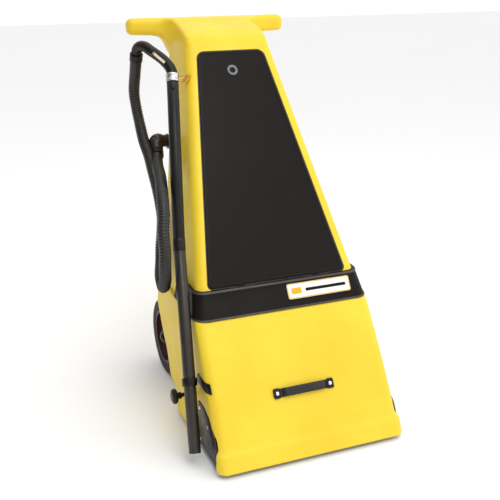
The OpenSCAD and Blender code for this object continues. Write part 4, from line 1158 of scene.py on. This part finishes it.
@dataclass
class FrontTrim:
    """Band round the seam, blank name plate and lifting strap on the front."""

    shell: MouldedBody
    band_height: float = 0.072
    band_out: float = 0.009
    lip: float = 0.002
    lip_height: float = 0.006
    band_end: float = -0.020
    plate: Pair = (0.205, 0.046)
    plate_thickness: float = 0.0016
    plate_place: Point = (0.118, 0.0375, 0.009)
    strap_level: Pair = (0.160, 0.200)
    strap_width: float = 0.025

    def band(self) -> None:
        """Makes the band with its two lips."""
        low, high = BODY.seam, BODY.seam + self.band_height
        out, proud = self.band_out, self.band_out + self.lip
        rows = [
            (low, out), (low + 0.0008, proud - 0.0005), (low + 0.0020, proud),
            (low + self.lip_height - 0.0012, proud), (low + self.lip_height, proud - 0.0005),
            (low + self.lip_height + 0.0012, out),
            (high - self.lip_height - 0.0012, out), (high - self.lip_height, proud - 0.0005),
            (high - self.lip_height + 0.0012, proud), (high - 0.0020, proud), (high - 0.0008, proud - 0.0005),
            (high, out),
        ]
        self.hoop("seam_band", rows, 0.0004, BAND, "belt_band")
        # The beads take the lip finish, whose lighter brown is a painted highlight along the lips.
        for name, level in (("lower_bead", low), ("upper_bead", high - self.lip_height)):
            bead = [(level + self.lip_height * (0.5 - 0.5 * math.cos(math.pi * step / 8)),
                     proud - 0.0012 + 0.0016 * math.sin(math.pi * step / 8)) for step in range(9)]
            self.hoop(name, bead, proud - 0.0015, BEAD)

    def hoop(self, name: str, rows: Sequence[Pair], inner: float, finish: Finish,
             *nodes: str) -> None:
        """Makes a hoop round the tower's front and sides.

        Args:
            name: Its name.
            rows: Height and distance from the tower of each row of its outer face.
            inner: Distance of its inner face from the tower.
            finish: Its finish.
            nodes: What it stands for.
        """
        hoop = Bench.loft(name, [self.shell.tower_section(z, -grow) for z, grow in rows], steps=10)
        hole = [self.shell.tower_section(z, -inner) for z in (rows[0][0] - 0.02, rows[-1][0] + 0.02)]
        Bench.cut(hoop, Bench.loft("hoop_hole", hole, steps=10))
        Bench.cut(hoop, Bench.box("hoop_end", (-0.4, self.band_end, 0.2), (0.4, 0.4, 0.6)))
        Bench.soften(hoop, 0, smooth=42)
        Bench.dress(hoop, finish, "root", *nodes)

    def label(self) -> None:
        """Makes the blank plate with its amber border and two plain bars."""
        wide, tall = self.plate
        top = self.plate_thickness
        print_low = top - 0.0004
        stand = BODY.on_front(BODY.seam + 0.006) @ Matrix.Translation(self.plate_place)

        def flat(name: str, half_x: float, half_y: float, radius: float, low: float, high: float,
                 move: Point = (0, 0, 0)) -> Piece:
            """Returns a flat rounded block on the plate's seat."""
            corners = [(-half_x, -half_y), (half_x, -half_y), (half_x, half_y), (-half_x, half_y)]
            made = Bench.slab(name, corners, [radius] * 4, low, high)
            return Bench.place(made, stand @ Matrix.Translation(move))

        base = flat("name_plate_base", wide / 2, tall / 2, 0.006, 0, top - 0.0003)
        Bench.soften(base, 0.0003)
        Bench.dress(base, WHITE, "root", "name_plate")
        border = flat("border", wide / 2 - 0.0006, tall / 2 - 0.0006, 0.0055, print_low, top)
        Bench.cut(border, flat("hole", wide / 2 - 0.003, tall / 2 - 0.003, 0.004, 0, 0.01))
        block = flat("bar", 0.016, 0.009, 0.004, print_low, top, (-0.074, 0, 0))
        Bench.dress(Bench.join("name_plate_border", [border, block]), PRINT, "root")
        bar = flat("name_plate_bar", 0.066, 0.0045, 0.002, print_low, top, (0.022, 0, 0))
        Bench.dress(bar, BAND, "root")

    def strap_stand(self) -> Matrix:
        """Returns the matrix of the strap's seat: X along the strap, Z out of the housing."""
        low, high = self.strap_level
        slope = (BODY.housing_front(high) - BODY.housing_front(low)) / (high - low)
        level = low + 0.018
        place = Matrix.Translation((0, BODY.housing_front(low) + slope * 0.018, level))
        return place @ Matrix.Rotation(math.pi / 2 - math.atan(slope), 4, "X")

    def strap(self) -> None:
        """Makes the bowed strap and its two end caps."""
        outline = [(-0.090, 0.001), (-0.068, 0.001), (-0.056, 0.010), (0.056, 0.010), (0.068, 0.001),
                   (0.090, 0.001), (0.090, 0.004), (0.070, 0.004), (0.059, 0.013), (-0.059, 0.013),
                   (-0.070, 0.004), (-0.090, 0.004)]
        radii = [0, 0.008, 0.005, 0.005, 0.008, 0, 0, 0.005, 0.008, 0.008, 0.005, 0]
        stand = self.strap_stand()
        half = self.strap_width / 2
        strap = Bench.slab("lifting_strap", outline, radii, -half, half, steps=5)
        Bench.place(strap, stand @ Matrix.Rotation(math.pi / 2, 4, "X"))
        Bench.soften(strap, 0.0009, 3, angle=50)
        Bench.dress(strap, RUBBER, "root", "lift_strap")
        caps = []
        for side in (-1, 1):
            near, far = sorted((side * 0.0735, side * 0.094))
            corners = [(near, -0.0145), (far, -0.0145), (far, 0.0145), (near, 0.0145)]
            cap = Bench.slab("cap", corners, [0.005] * 4, 0.0001, 0.006)
            hollow = Bench.box("hollow", (near - 0.01 if side > 0 else near + 0.0025, -0.0127, -0.001),
                               (far - 0.0025 if side > 0 else far + 0.01, 0.0127, 0.0042))
            Bench.cut(cap, hollow)
            Bench.soften(cap, 0.0012, 3)
            caps.append(Bench.place(cap, stand))
        Bench.dress(Bench.join("strap_caps", caps), PLASTIC, "root", "strap_end_caps")

    def build(self) -> None:
        """Makes the trim."""
        self.band()
        self.label()
        self.strap()


@dataclass
class Screws:
    """Cross-head screws of the strap, the side plates and the rear cover."""

    stand: Matrix
    head: float = 0.0055
    height: float = 0.0026
    strap_at: float = 0.083
    plate_face: float = 0.2845
    plate_places: tuple[Pair, ...] = ((-0.340, 0.103), (-0.275, 0.130), (-0.275, 0.030))
    cover_places: tuple[Pair, ...] = ((-0.105, -0.052), (0.105, -0.052), (0.105, 0.052),
                                                     (-0.105, 0.052))

    def build(self) -> None:
        """Makes one screw and copies it to every place."""
        head = self.head
        screw = Bench.turned("screw", [(0, 0), (head, 0), (head, 0.0008), (head * 0.82, self.height * 0.75),
                                       (head * 0.45, self.height), (0, self.height)], steps=32)
        for turn in (0, math.pi / 2):
            slot = Bench.box("slot", (-head * 0.62, -0.0006, self.height - 0.0011),
                             (head * 0.62, 0.0006, 0.01))
            Bench.cut(screw, Bench.place(slot, Matrix.Rotation(turn, 4, "Z")))
        cover = BODY.on_rear(BODY.seam + 0.152, 0.04)
        places = [self.stand @ Matrix.Translation((side * self.strap_at, 0, 0.0058)) for side in (-1, 1)]
        for side in (-1, 1):
            places += [toward((side * self.plate_face, y, z), (side, 0, 0)) for y, z in self.plate_places]
        places += [cover @ Matrix.Translation((x, y, 0.0053)) for x, y in self.cover_places]
        twist = [Matrix.Rotation(0.7 * index, 4, "Z") for index in range(len(places))]
        made = [Bench.copy(screw, "screw_copy", place @ turn) for place, turn in zip(places, twist)]
        bpy.data.objects.remove(screw)
        screws = Bench.join("cross_head_screws", made)
        Bench.soften(screws, 0, smooth=35)
        Bench.dress(screws, CHROME, "root", "case_screws")


@dataclass
class Wand:
    """The two-part wand with its collar, hand tube, slider, clip and hook."""

    foot: Point = (-0.327675, -0.355, 0.039)
    joint: Point = (-0.277008, -0.094721, 0.563)
    top: Point = (-0.215059, 0.125102, 1.001)
    radius: float = 0.0175
    wall: float = 0.0015
    tip_length: float = 0.027
    ring_radius: float = 0.0185
    grip_line: tuple[Point, ...] = (
        (0.0000, 0.0000, 0.0020), (0.0020, 0.0090, 0.0180), (-0.0030, 0.0220, 0.0360),
        (-0.0420, 0.0760, 0.0770), (-0.0580, 0.1030, 0.0880), (-0.0680, 0.1280, 0.0800),
        (-0.0700, 0.1430, 0.0580))
    grip_radius: float = 0.016
    slider_side: Point = (-0.56, -0.73, 0.39)
    slider: Point = (0.050, 0.0078, 0.0026)
    port: Point = (-0.236, 0.250, 0.790)
    hose_end: Point = (-0.245, 0.225, 0.765)

    def slider_stand(self, along: float, out: float) -> Matrix:
        """Returns the matrix of a place on the grip: X along it, Z out on the slider's side."""
        top, low, high = Vector(self.top), Vector((-0.001, 0.020, 0.034)), Vector((-0.044, 0.078, 0.078))
        run = (high - low).normalized()
        side = Vector(self.slider_side)
        side = (side - run * side.dot(run)).normalized()
        across = side.cross(run)
        place = top + low + run * along + side * out
        return Matrix.Translation(place) @ Matrix((run, across, side)).transposed().to_4x4()

    def grip(self) -> None:
        """Makes the bent hand tube with the slider's raised track."""
        top = Vector(self.top)
        line = [tuple(top + Vector(step)) for step in self.grip_line]
        grip = Bench.pipe("hand_grip_tube", line, [self.grip_radius] * len(line), sides=32)
        track = Bench.box("track", (-0.033, -0.0066, 0), (0.033, 0.0066, 0.006))
        Bench.soften(track, 0.002, 3)
        Bench.cut(grip, Bench.place(track, self.slider_stand(0.042, self.grip_radius - 0.0035)), join=True)
        Bench.soften(grip, 0, smooth=50)
        Bench.dress(grip, PLASTIC, "wand", "hand_tube")

    def air_slider(self) -> None:
        """Makes the cream slider and the brass stud on its end."""
        long, wide, thick = self.slider
        corners = [(-long / 2, -wide / 2), (long / 2, -wide / 2), (long / 2, wide / 2), (-long / 2, wide / 2)]
        plate = Bench.slab("air_slider", corners, [0.0025] * 4, 0, thick)
        Bench.soften(plate, 0.0006, 2)
        stand = self.slider_stand(0.037, self.grip_radius + 0.0026)
        Bench.dress(Bench.place(plate, stand), CREAM, "slider", "bleed_slider")
        stud = Bench.turned("slider_stud", [(0, 0), (0.0036, 0), (0.0036, 0.0010), (0.0030, 0.0018),
                                            (0.0036, 0.0034), (0.0030, 0.0046), (0, 0.0050)], steps=32)
        Bench.place(stud, stand @ Matrix.Translation((long / 2 - 0.005, 0, thick - 0.0002)))
        Bench.soften(stud, 0)
        Bench.dress(stud, BRASS, "slider")

    def elbow(self) -> None:
        """Makes the domed elbow that carries the hose into the tower's port."""
        port, end = Vector(self.port), Vector(self.hose_end)
        run = (Vector((-0.265, 0.145, 0.740)) - end).normalized()
        line = [port + Vector((0.062, 0, 0)), port + Vector((0.020, 0.001, 0.002)),
                port + Vector((0.001, -0.003, 0.003)), end + run * 0.001, end + run * 0.016]
        radii = [0.019, 0.0195, 0.0245, 0.0215, 0.0205]
        elbow = Bench.pipe("tower_elbow", [tuple(p) for p in line], radii, sides=40)
        cuff = Bench.turned("elbow_cuff", [
            (0.0182, 0), (0.0212, 0), (0.0222, 0.0015), (0.0222, 0.0050), (0.0210, 0.0060),
            (0.0210, 0.0200), (0.0218, 0.0210), (0.0218, 0.0245), (0.0208, 0.0260), (0.0182, 0.0260),
        ], steps=48, ring=True)
        flange = Bench.turned("flange", [
            (0.018, 0), (0.0240, 0), (0.0240, 0.0035), (0.0225, 0.0050), (0.018, 0.0050),
        ], steps=48, ring=True)
        Bench.place(cuff, toward(end + run * 0.002, run))
        Bench.place(flange, toward(port + Vector((0.037, 0, 0)), (-1, 0, 0)))
        elbow = Bench.join("tower_elbow", [elbow, cuff, flange])
        Bench.soften(elbow, 0, smooth=45)
        Bench.dress(elbow, GLOSS, "root", "hose_elbow")

    def tube(self, name: str, start: Point, end: Point, finish: Finish, *nodes: str,
             tip: bool = False) -> None:
        """Makes one hollow tube.

        Args:
            name: Its name.
            start: Its lower end.
            end: Its upper end.
            finish: Its finish.
            nodes: What it stands for.
            tip: Whether its lower end is stepped in.
        """
        run = Vector(end) - Vector(start)
        out, bore, long = self.radius, self.radius - self.wall, run.length
        lead = [(out - 0.001, 0.0), (out - 0.0006, self.tip_length), (out, self.tip_length + 0.001)] if tip \
            else [(out - 0.0005, 0.0), (out, 0.0006)]
        inner = bore - (0.001 if tip else 0)
        profile = [(inner, 0.0), *lead, (out, long * 0.5), (out, long - 0.0006), (out - 0.0005, long),
                   (inner, long)]
        tube = Bench.turned(name, profile, steps=48, ring=True)
        Bench.place(tube, toward(start, run))
        Bench.soften(tube, 0, smooth=40)
        Bench.dress(tube, finish, "wand", *nodes)

    def joint_ring(self) -> None:
        """Makes the grooved ring where the tubes meet."""
        out, bore = self.ring_radius, self.radius + 0.0001
        half = 0.018
        profile = [(bore, -half), (out - 0.0006, -half), (out, -half + 0.001)]
        for level in (-0.006, 0.006):
            profile += [(out, level - 0.0015), (out - 0.0005, level - 0.0008), (out - 0.0005, level + 0.0008),
                        (out, level + 0.0015)]
        profile += [(out, half - 0.001), (out - 0.0006, half), (bore, half)]
        ring = Bench.turned("wand_ring", profile, steps=48, ring=True)
        Bench.place(ring, toward(self.joint, Vector(self.top) - Vector(self.foot)))
        Bench.soften(ring, 0, smooth=35)
        Bench.dress(ring, PLASTIC, "wand", "wand_joint_ring")

    def collar(self) -> None:
        """Makes the silver collar at the top of the upper tube."""
        low, high, out, bore = -0.008, 0.016, 0.0195, 0.0177
        profile = [(bore, low), (out - 0.0008, low), (out, low + 0.0012), (out, low + 0.005),
                   (out - 0.0007, low + 0.006), (out - 0.0007, high - 0.006), (out, high - 0.005),
                   (out, high - 0.0012), (out - 0.0008, high), (bore, high)]
        collar = Bench.turned("wand_end_collar", profile, steps=56, ring=True)
        Bench.place(collar, toward(self.top, Vector(self.top) - Vector(self.joint)))
        Bench.soften(collar, 0, smooth=35)
        Bench.dress(collar, SILVER, "wand", "wand_collar")

    def build(self) -> None:
        """Makes the wand's pieces."""
        self.tube("wand_lower", self.foot, self.joint, WAND, "wand_lower_tube", tip=True)
        self.tube("wand_upper", self.joint, self.top, PLASTIC, "wand_upper_tube")
        self.joint_ring()
        self.collar()
        self.grip()
        self.air_slider()
        self.elbow()
        Bench.carry(("wand_lock_button", "collar_button", PLASTIC, "wand", 0.0008),
                    ("hose_cuff", "hose_end_cuff", PLASTIC, "wand", 0.0012),
                    ("wand_clip", "corner_clip", PLASTIC, "root", 0.0008),
                    ("wand_hook", "brass_hook", BRASS, "root", 0.0006))


@dataclass
class RunningGear:
    """Rear wheels, side knobs, axle and floor contact."""

    radius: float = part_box("tyre_right")[1].z / 2
    width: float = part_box("tyre_right")[1].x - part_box("tyre_right")[0].x
    inner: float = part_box("tyre_right")[0].x
    axle_radius: float = (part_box("axle")[1].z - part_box("axle")[0].z) / 2
    hub_share: float = 0.7
    knob_start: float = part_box("side_knob_right")[0].x
    knob_end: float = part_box("side_knob_right")[1].x

    def tyre(self) -> Piece:
        """Returns the tyre with its grooved tread, along Z from 0."""
        out, wide, bead = self.radius, self.width, self.radius * self.hub_share
        groove = 0.0018
        profile = [(bead, 0.002), (bead + 0.010, 0), (out - 0.018, 0.0006), (out - 0.009, 0),
                   (out - 0.003, 0.003), (out, 0.009)]
        for middle in (wide * 0.34, wide * 0.5, wide * 0.66):
            profile += [(out, middle - 0.0018), (out - groove, middle - 0.0012),
                        (out - groove, middle + 0.0012), (out, middle + 0.0018)]
        profile += [(out, wide - 0.009), (out - 0.003, wide - 0.003), (out - 0.009, wide),
                    (out - 0.018, wide - 0.0006), (bead + 0.010, wide), (bead, wide - 0.002)]
        return Bench.turned("tyre", profile, steps=96, ring=True)

    def hub(self) -> Piece:
        """Returns the hub with its ribs, along Z from 0."""
        rim, wide, bore = self.radius * self.hub_share - 0.0002, self.width, self.axle_radius + 0.0004
        web_low, web_high, boss = 0.018, 0.026, 0.020
        profile = [(bore, 0), (boss, 0), (boss, web_low - 0.003), (boss + 0.003, web_low),
                   (rim - 0.014, web_low), (rim - 0.009, web_low - 0.006), (rim - 0.008, 0.001), (rim, 0.001),
                   (rim, wide - 0.001),
                   (rim - 0.008, wide - 0.001), (rim - 0.009, web_high + 0.008), (rim - 0.014, web_high),
                   (boss + 0.003, web_high), (boss, web_high + 0.003), (boss, wide), (bore, wide)]
        hub = Bench.turned("hub", profile, steps=96, ring=True)
        rib = Bench.box("rib", (boss - 0.002, -0.003, web_low - 0.006),
                        (rim - 0.010, 0.003, web_high + 0.010))
        Bench.soften(rib, 0.0012)
        ribs = [Bench.copy(rib, "rib_copy", Matrix.Rotation(index * math.pi / 3, 4, "Z"))
                for index in range(6)]
        bpy.data.objects.remove(rib)
        return Bench.join("hub", [hub, *ribs])

    def knob(self) -> Piece:
        """Returns the ball knob and its stem, along Z from 0."""
        long = self.knob_end - self.knob_start
        profile = [(0, 0), (0.0055, 0), (0.006, 0.0008), (0.006, long - 0.031), (0.0095, long - 0.0295),
                   (0.0100, long - 0.028), (0.0100, long - 0.0185), (0.0135, long - 0.0172),
                   (0.0190, long - 0.0160), (0.0220, long - 0.0130), (0.0230, long - 0.0095),
                   (0.0225, long - 0.0060), (0.0200, long - 0.0028), (0.0150, long - 0.0006),
                   (0.0080, long), (0, long)]
        return Bench.turned("knob", profile, steps=56)

    def build(self) -> None:
        """Makes the gear of both sides."""
        hub_place = toward((self.inner, centre("tyre_right")[1], self.radius), (1, 0, 0))
        knob_place = toward((self.knob_start, *centre("side_knob_right")[1:]), (1, 0, 0))
        for form, place, finish, node, label, body in (
                (self.tyre(), hub_place, TYRE, "tyre", "tyre_rubber", "wheel"),
                (self.hub(), hub_place, HUB, "wheel_hub", "ribbed_hub", "wheel"),
                (self.knob(), knob_place, PLASTIC, "side_knob", "ball_knob", "knob")):
            for side, turn in (("right", Matrix.Identity(4)), ("left", MIRROR)):
                piece = Bench.copy(form, f"{label}_{side}", turn @ place)
                Bench.soften(piece, 0, smooth=38)
                Bench.dress(piece, finish, f"{body}_{side}", f"{node}_{side}")
            bpy.data.objects.remove(form)
        Bench.carry(("axle", "steel_axle", DARK_STEEL, "root", 0.0008),
                    ("axle_clips", "axle_washers", DARK_STEEL, "root", 0.0004),
                    ("knob_bushings", "stem_bushings", PLASTIC, "root", 0.0008),
                    ("floor_glides", "nylon_glides", GLIDE, "root", 0.002),
                    ("side_plate_left", "brush_plate_left", PLATE, "root", 0.0012),
                    ("side_plate_right", "brush_plate_right", PLATE, "root", 0.0012))


@dataclass
class BrushDrive:
    """Cylinder brush with its tufts, drive belt, motor and frame."""

    core_radius: float = 0.0255
    tip_radius: float = 0.0532
    rows: int = 6
    twist: float = 1.4
    pitch: float = 0.0125
    start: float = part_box("brush_bristles")[0].x + 0.006
    end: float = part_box("brush_bristles")[1].x - 0.006
    pulley: float = centre("brush_pulley")[0]
    pulley_gap: float = 0.017

    def tuft(self) -> Piece:
        """Returns one tuft along Z from the core to its frayed tip."""
        low, high = self.core_radius, self.tip_radius
        return Bench.turned("tuft", [(0, low), (0.0022, low), (0.0028, low + 0.010), (0.0042, high - 0.002),
                                     (0.0036, high - 0.0004), (0, high - 0.0012)], steps=10)

    def bristles(self) -> None:
        """Copies the tuft along six twisted rows."""
        middle = centre("brush_core")[1:]
        tuft = self.tuft()
        made = []
        count = int((self.end - self.start) / self.pitch)
        for row in range(self.rows):
            for step in range(count + 1):
                share = step / count
                x = self.start + (self.end - self.start) * share
                if abs(x - self.pulley) < self.pulley_gap:
                    continue
                angle = 2 * math.pi * row / self.rows + self.twist * share
                place = Matrix.Translation((x, *middle)) @ Matrix.Rotation(angle, 4, "X")
                copy = Bench.linked("tuft_copy", tuft.data.copy())
                copy.data.transform(place)
                made.append(copy)
        bpy.data.objects.remove(tuft)
        bristles = Bench.join("brush_tufts", made)
        Bench.soften(bristles, 0, smooth=50)
        Bench.dress(bristles, BRISTLE, "brush", "brush_bristles")

    def build(self) -> None:
        """Makes the brush and its drive."""
        self.bristles()
        Bench.carry(("brush_core", "brush_roller", PLASTIC, "brush", 0.0008),
                    ("brush_pulley", "roller_pulley", ALUMINIUM, "brush", 0.0005),
                    ("drive_belt", "rubber_belt", RUBBER, "root", 0.0003),
                    ("motor_pulley", "drive_pulley", STEEL, "motor_rotor", 0.0004),
                    ("brush_motor", "drive_motor", ALUMINIUM, "root", 0.002),
                    ("brush_bearings", "roller_bearings", STEEL, "root", 0.0005),
                    ("brush_tunnel", "roller_tunnel", PLASTIC, "root", 0.001),
                    ("base_chassis", "steel_chassis", FRAME_GREY, "root", 0.0012))


@dataclass
class AirPath:
    """Duct, vacuum motor, chamber floor, filter and the cloth bag."""

    frames: int = 26
    voxel: float = 0.011
    held: float = 0.02
    levels: tuple[Pair, ...] = (
        (0.0, 0.5), (0.06, 0.84), (0.2, 0.97), (0.45, 0.97), (0.7, 0.97), (0.88, 0.88), (0.96, 0.68),
        (1.0, 0.42))

    def bag_form(self) -> Piece:
        """Returns the hanging bag's form from rounded sections with a gathered neck and a narrowed top."""
        low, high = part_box("dust_bag")
        sections = []
        for share, fill in self.levels:
            z = low.z + 0.002 + share * (high.z - low.z - 0.004)
            deep = BODY.depth(z) * 0.22
            middle = BODY.rear(z) - 0.038 - deep
            wide = (BODY.half(z) - 0.044) * fill
            radius = 0.78 * deep * fill
            sections.append(Section(z, (-wide, middle - deep * fill), (wide, middle + deep * fill),
                                    radius, radius))
        return Bench.loft("cloth_bag", sections, steps=6)

    def bag(self) -> None:
        """Makes the cloth bag and lets it sag on its hook."""
        bag = self.bag_form()
        Bench.apply(bag, "REMESH", mode="VOXEL", voxel_size=self.voxel)
        high = max(vertex.co.z for vertex in bag.data.vertices)
        low = min(vertex.co.z for vertex in bag.data.vertices)
        group = bag.vertex_groups.new(name="held")
        group.add([vertex.index for vertex in bag.data.vertices
                   if vertex.co.z > high - self.held or vertex.co.z < low + self.held], 1.0, "REPLACE")
        Bench.take(bag)
        cloth = bag.modifiers.new("cloth", "CLOTH")
        cloth.settings.mass = 0.25
        cloth.settings.quality = 6
        cloth.settings.tension_stiffness = 12
        cloth.settings.bending_stiffness = 0.3
        cloth.settings.vertex_group_mass = "held"
        cloth.settings.use_pressure = True
        cloth.settings.uniform_pressure_force = 0.6
        cloth.settings.shrink_min = -0.015
        cloth.point_cache.frame_end = self.frames
        for step in range(1, self.frames + 1):
            bpy.context.scene.frame_set(step)
        bpy.ops.object.modifier_apply(modifier=cloth.name)
        bpy.context.scene.frame_set(1)
        Bench.apply(bag, "SUBSURF", levels=1)
        Bench.soften(bag, 0, smooth=180)
        Bench.dress(bag, FABRIC, "root", "dust_bag")

    def build(self) -> None:
        """Makes the pieces of the air path."""
        self.bag()
        Bench.carry(("bag_chamber_floor", "chamber_floor", PLASTIC, "root", 0.001),
                    ("bag_holder", "bag_neck_collar", PLASTIC, "root", 0.0008),
                    ("bag_hook", "bag_top_hook", STEEL, "root", 0.0004),
                    ("exhaust_filter", "filter_block", PAPER, "root", 0.002),
                    ("suction_duct", "moulded_duct", PLASTIC, "root", 0),
                    ("vacuum_motor", "fan_motor", ALUMINIUM, "root", 0.0015),
                    ("fan_impeller", "fan_wheel", ALUMINIUM, "fan", 0))


@dataclass
class RearPanel:
    """Switches, power inlet, cord hooks and the louvred cover on the rear face."""

    def build(self) -> None:
        """Makes the rear pieces."""
        Bench.carry(("switch_panel", "switch_plate", PLASTIC, "root", 0.001),
                    ("vacuum_switch", "red_rocker", RED, "vacuum_rocker", 0.0008),
                    ("brush_switch", "green_rocker", GREEN, "brush_rocker", 0.0008),
                    ("reset_button", "reset_cap", BUTTON, "reset", 0.0008),
                    ("power_inlet", "inlet_flange", PLASTIC, "root", 0.0006),
                    ("lower_cord_hook", "fixed_cord_hook", PLASTIC, "root", 0.0012),
                    ("upper_cord_hook", "turning_cord_hook", PLASTIC, "hook", 0.0012),
                    ("rear_service_cover", "louvred_cover", BAND, "root", 0.0007))


def main() -> None:
    """Builds every sub-assembly in order."""
    logging.basicConfig(level=logging.INFO, format="%(message)s")
    studio = Studio()
    studio.camera()
    Hose().build()
    studio.build()
    shell = MouldedBody()
    shell.build()
    Door(shell).build()
    trim = FrontTrim(shell)
    trim.build()
    Screws(trim.strap_stand()).build()
    Wand().build()
    RunningGear().build()
    BrushDrive().build()
    AirPath().build()
    RearPanel().build()


if __name__ == "__main__":
    main()
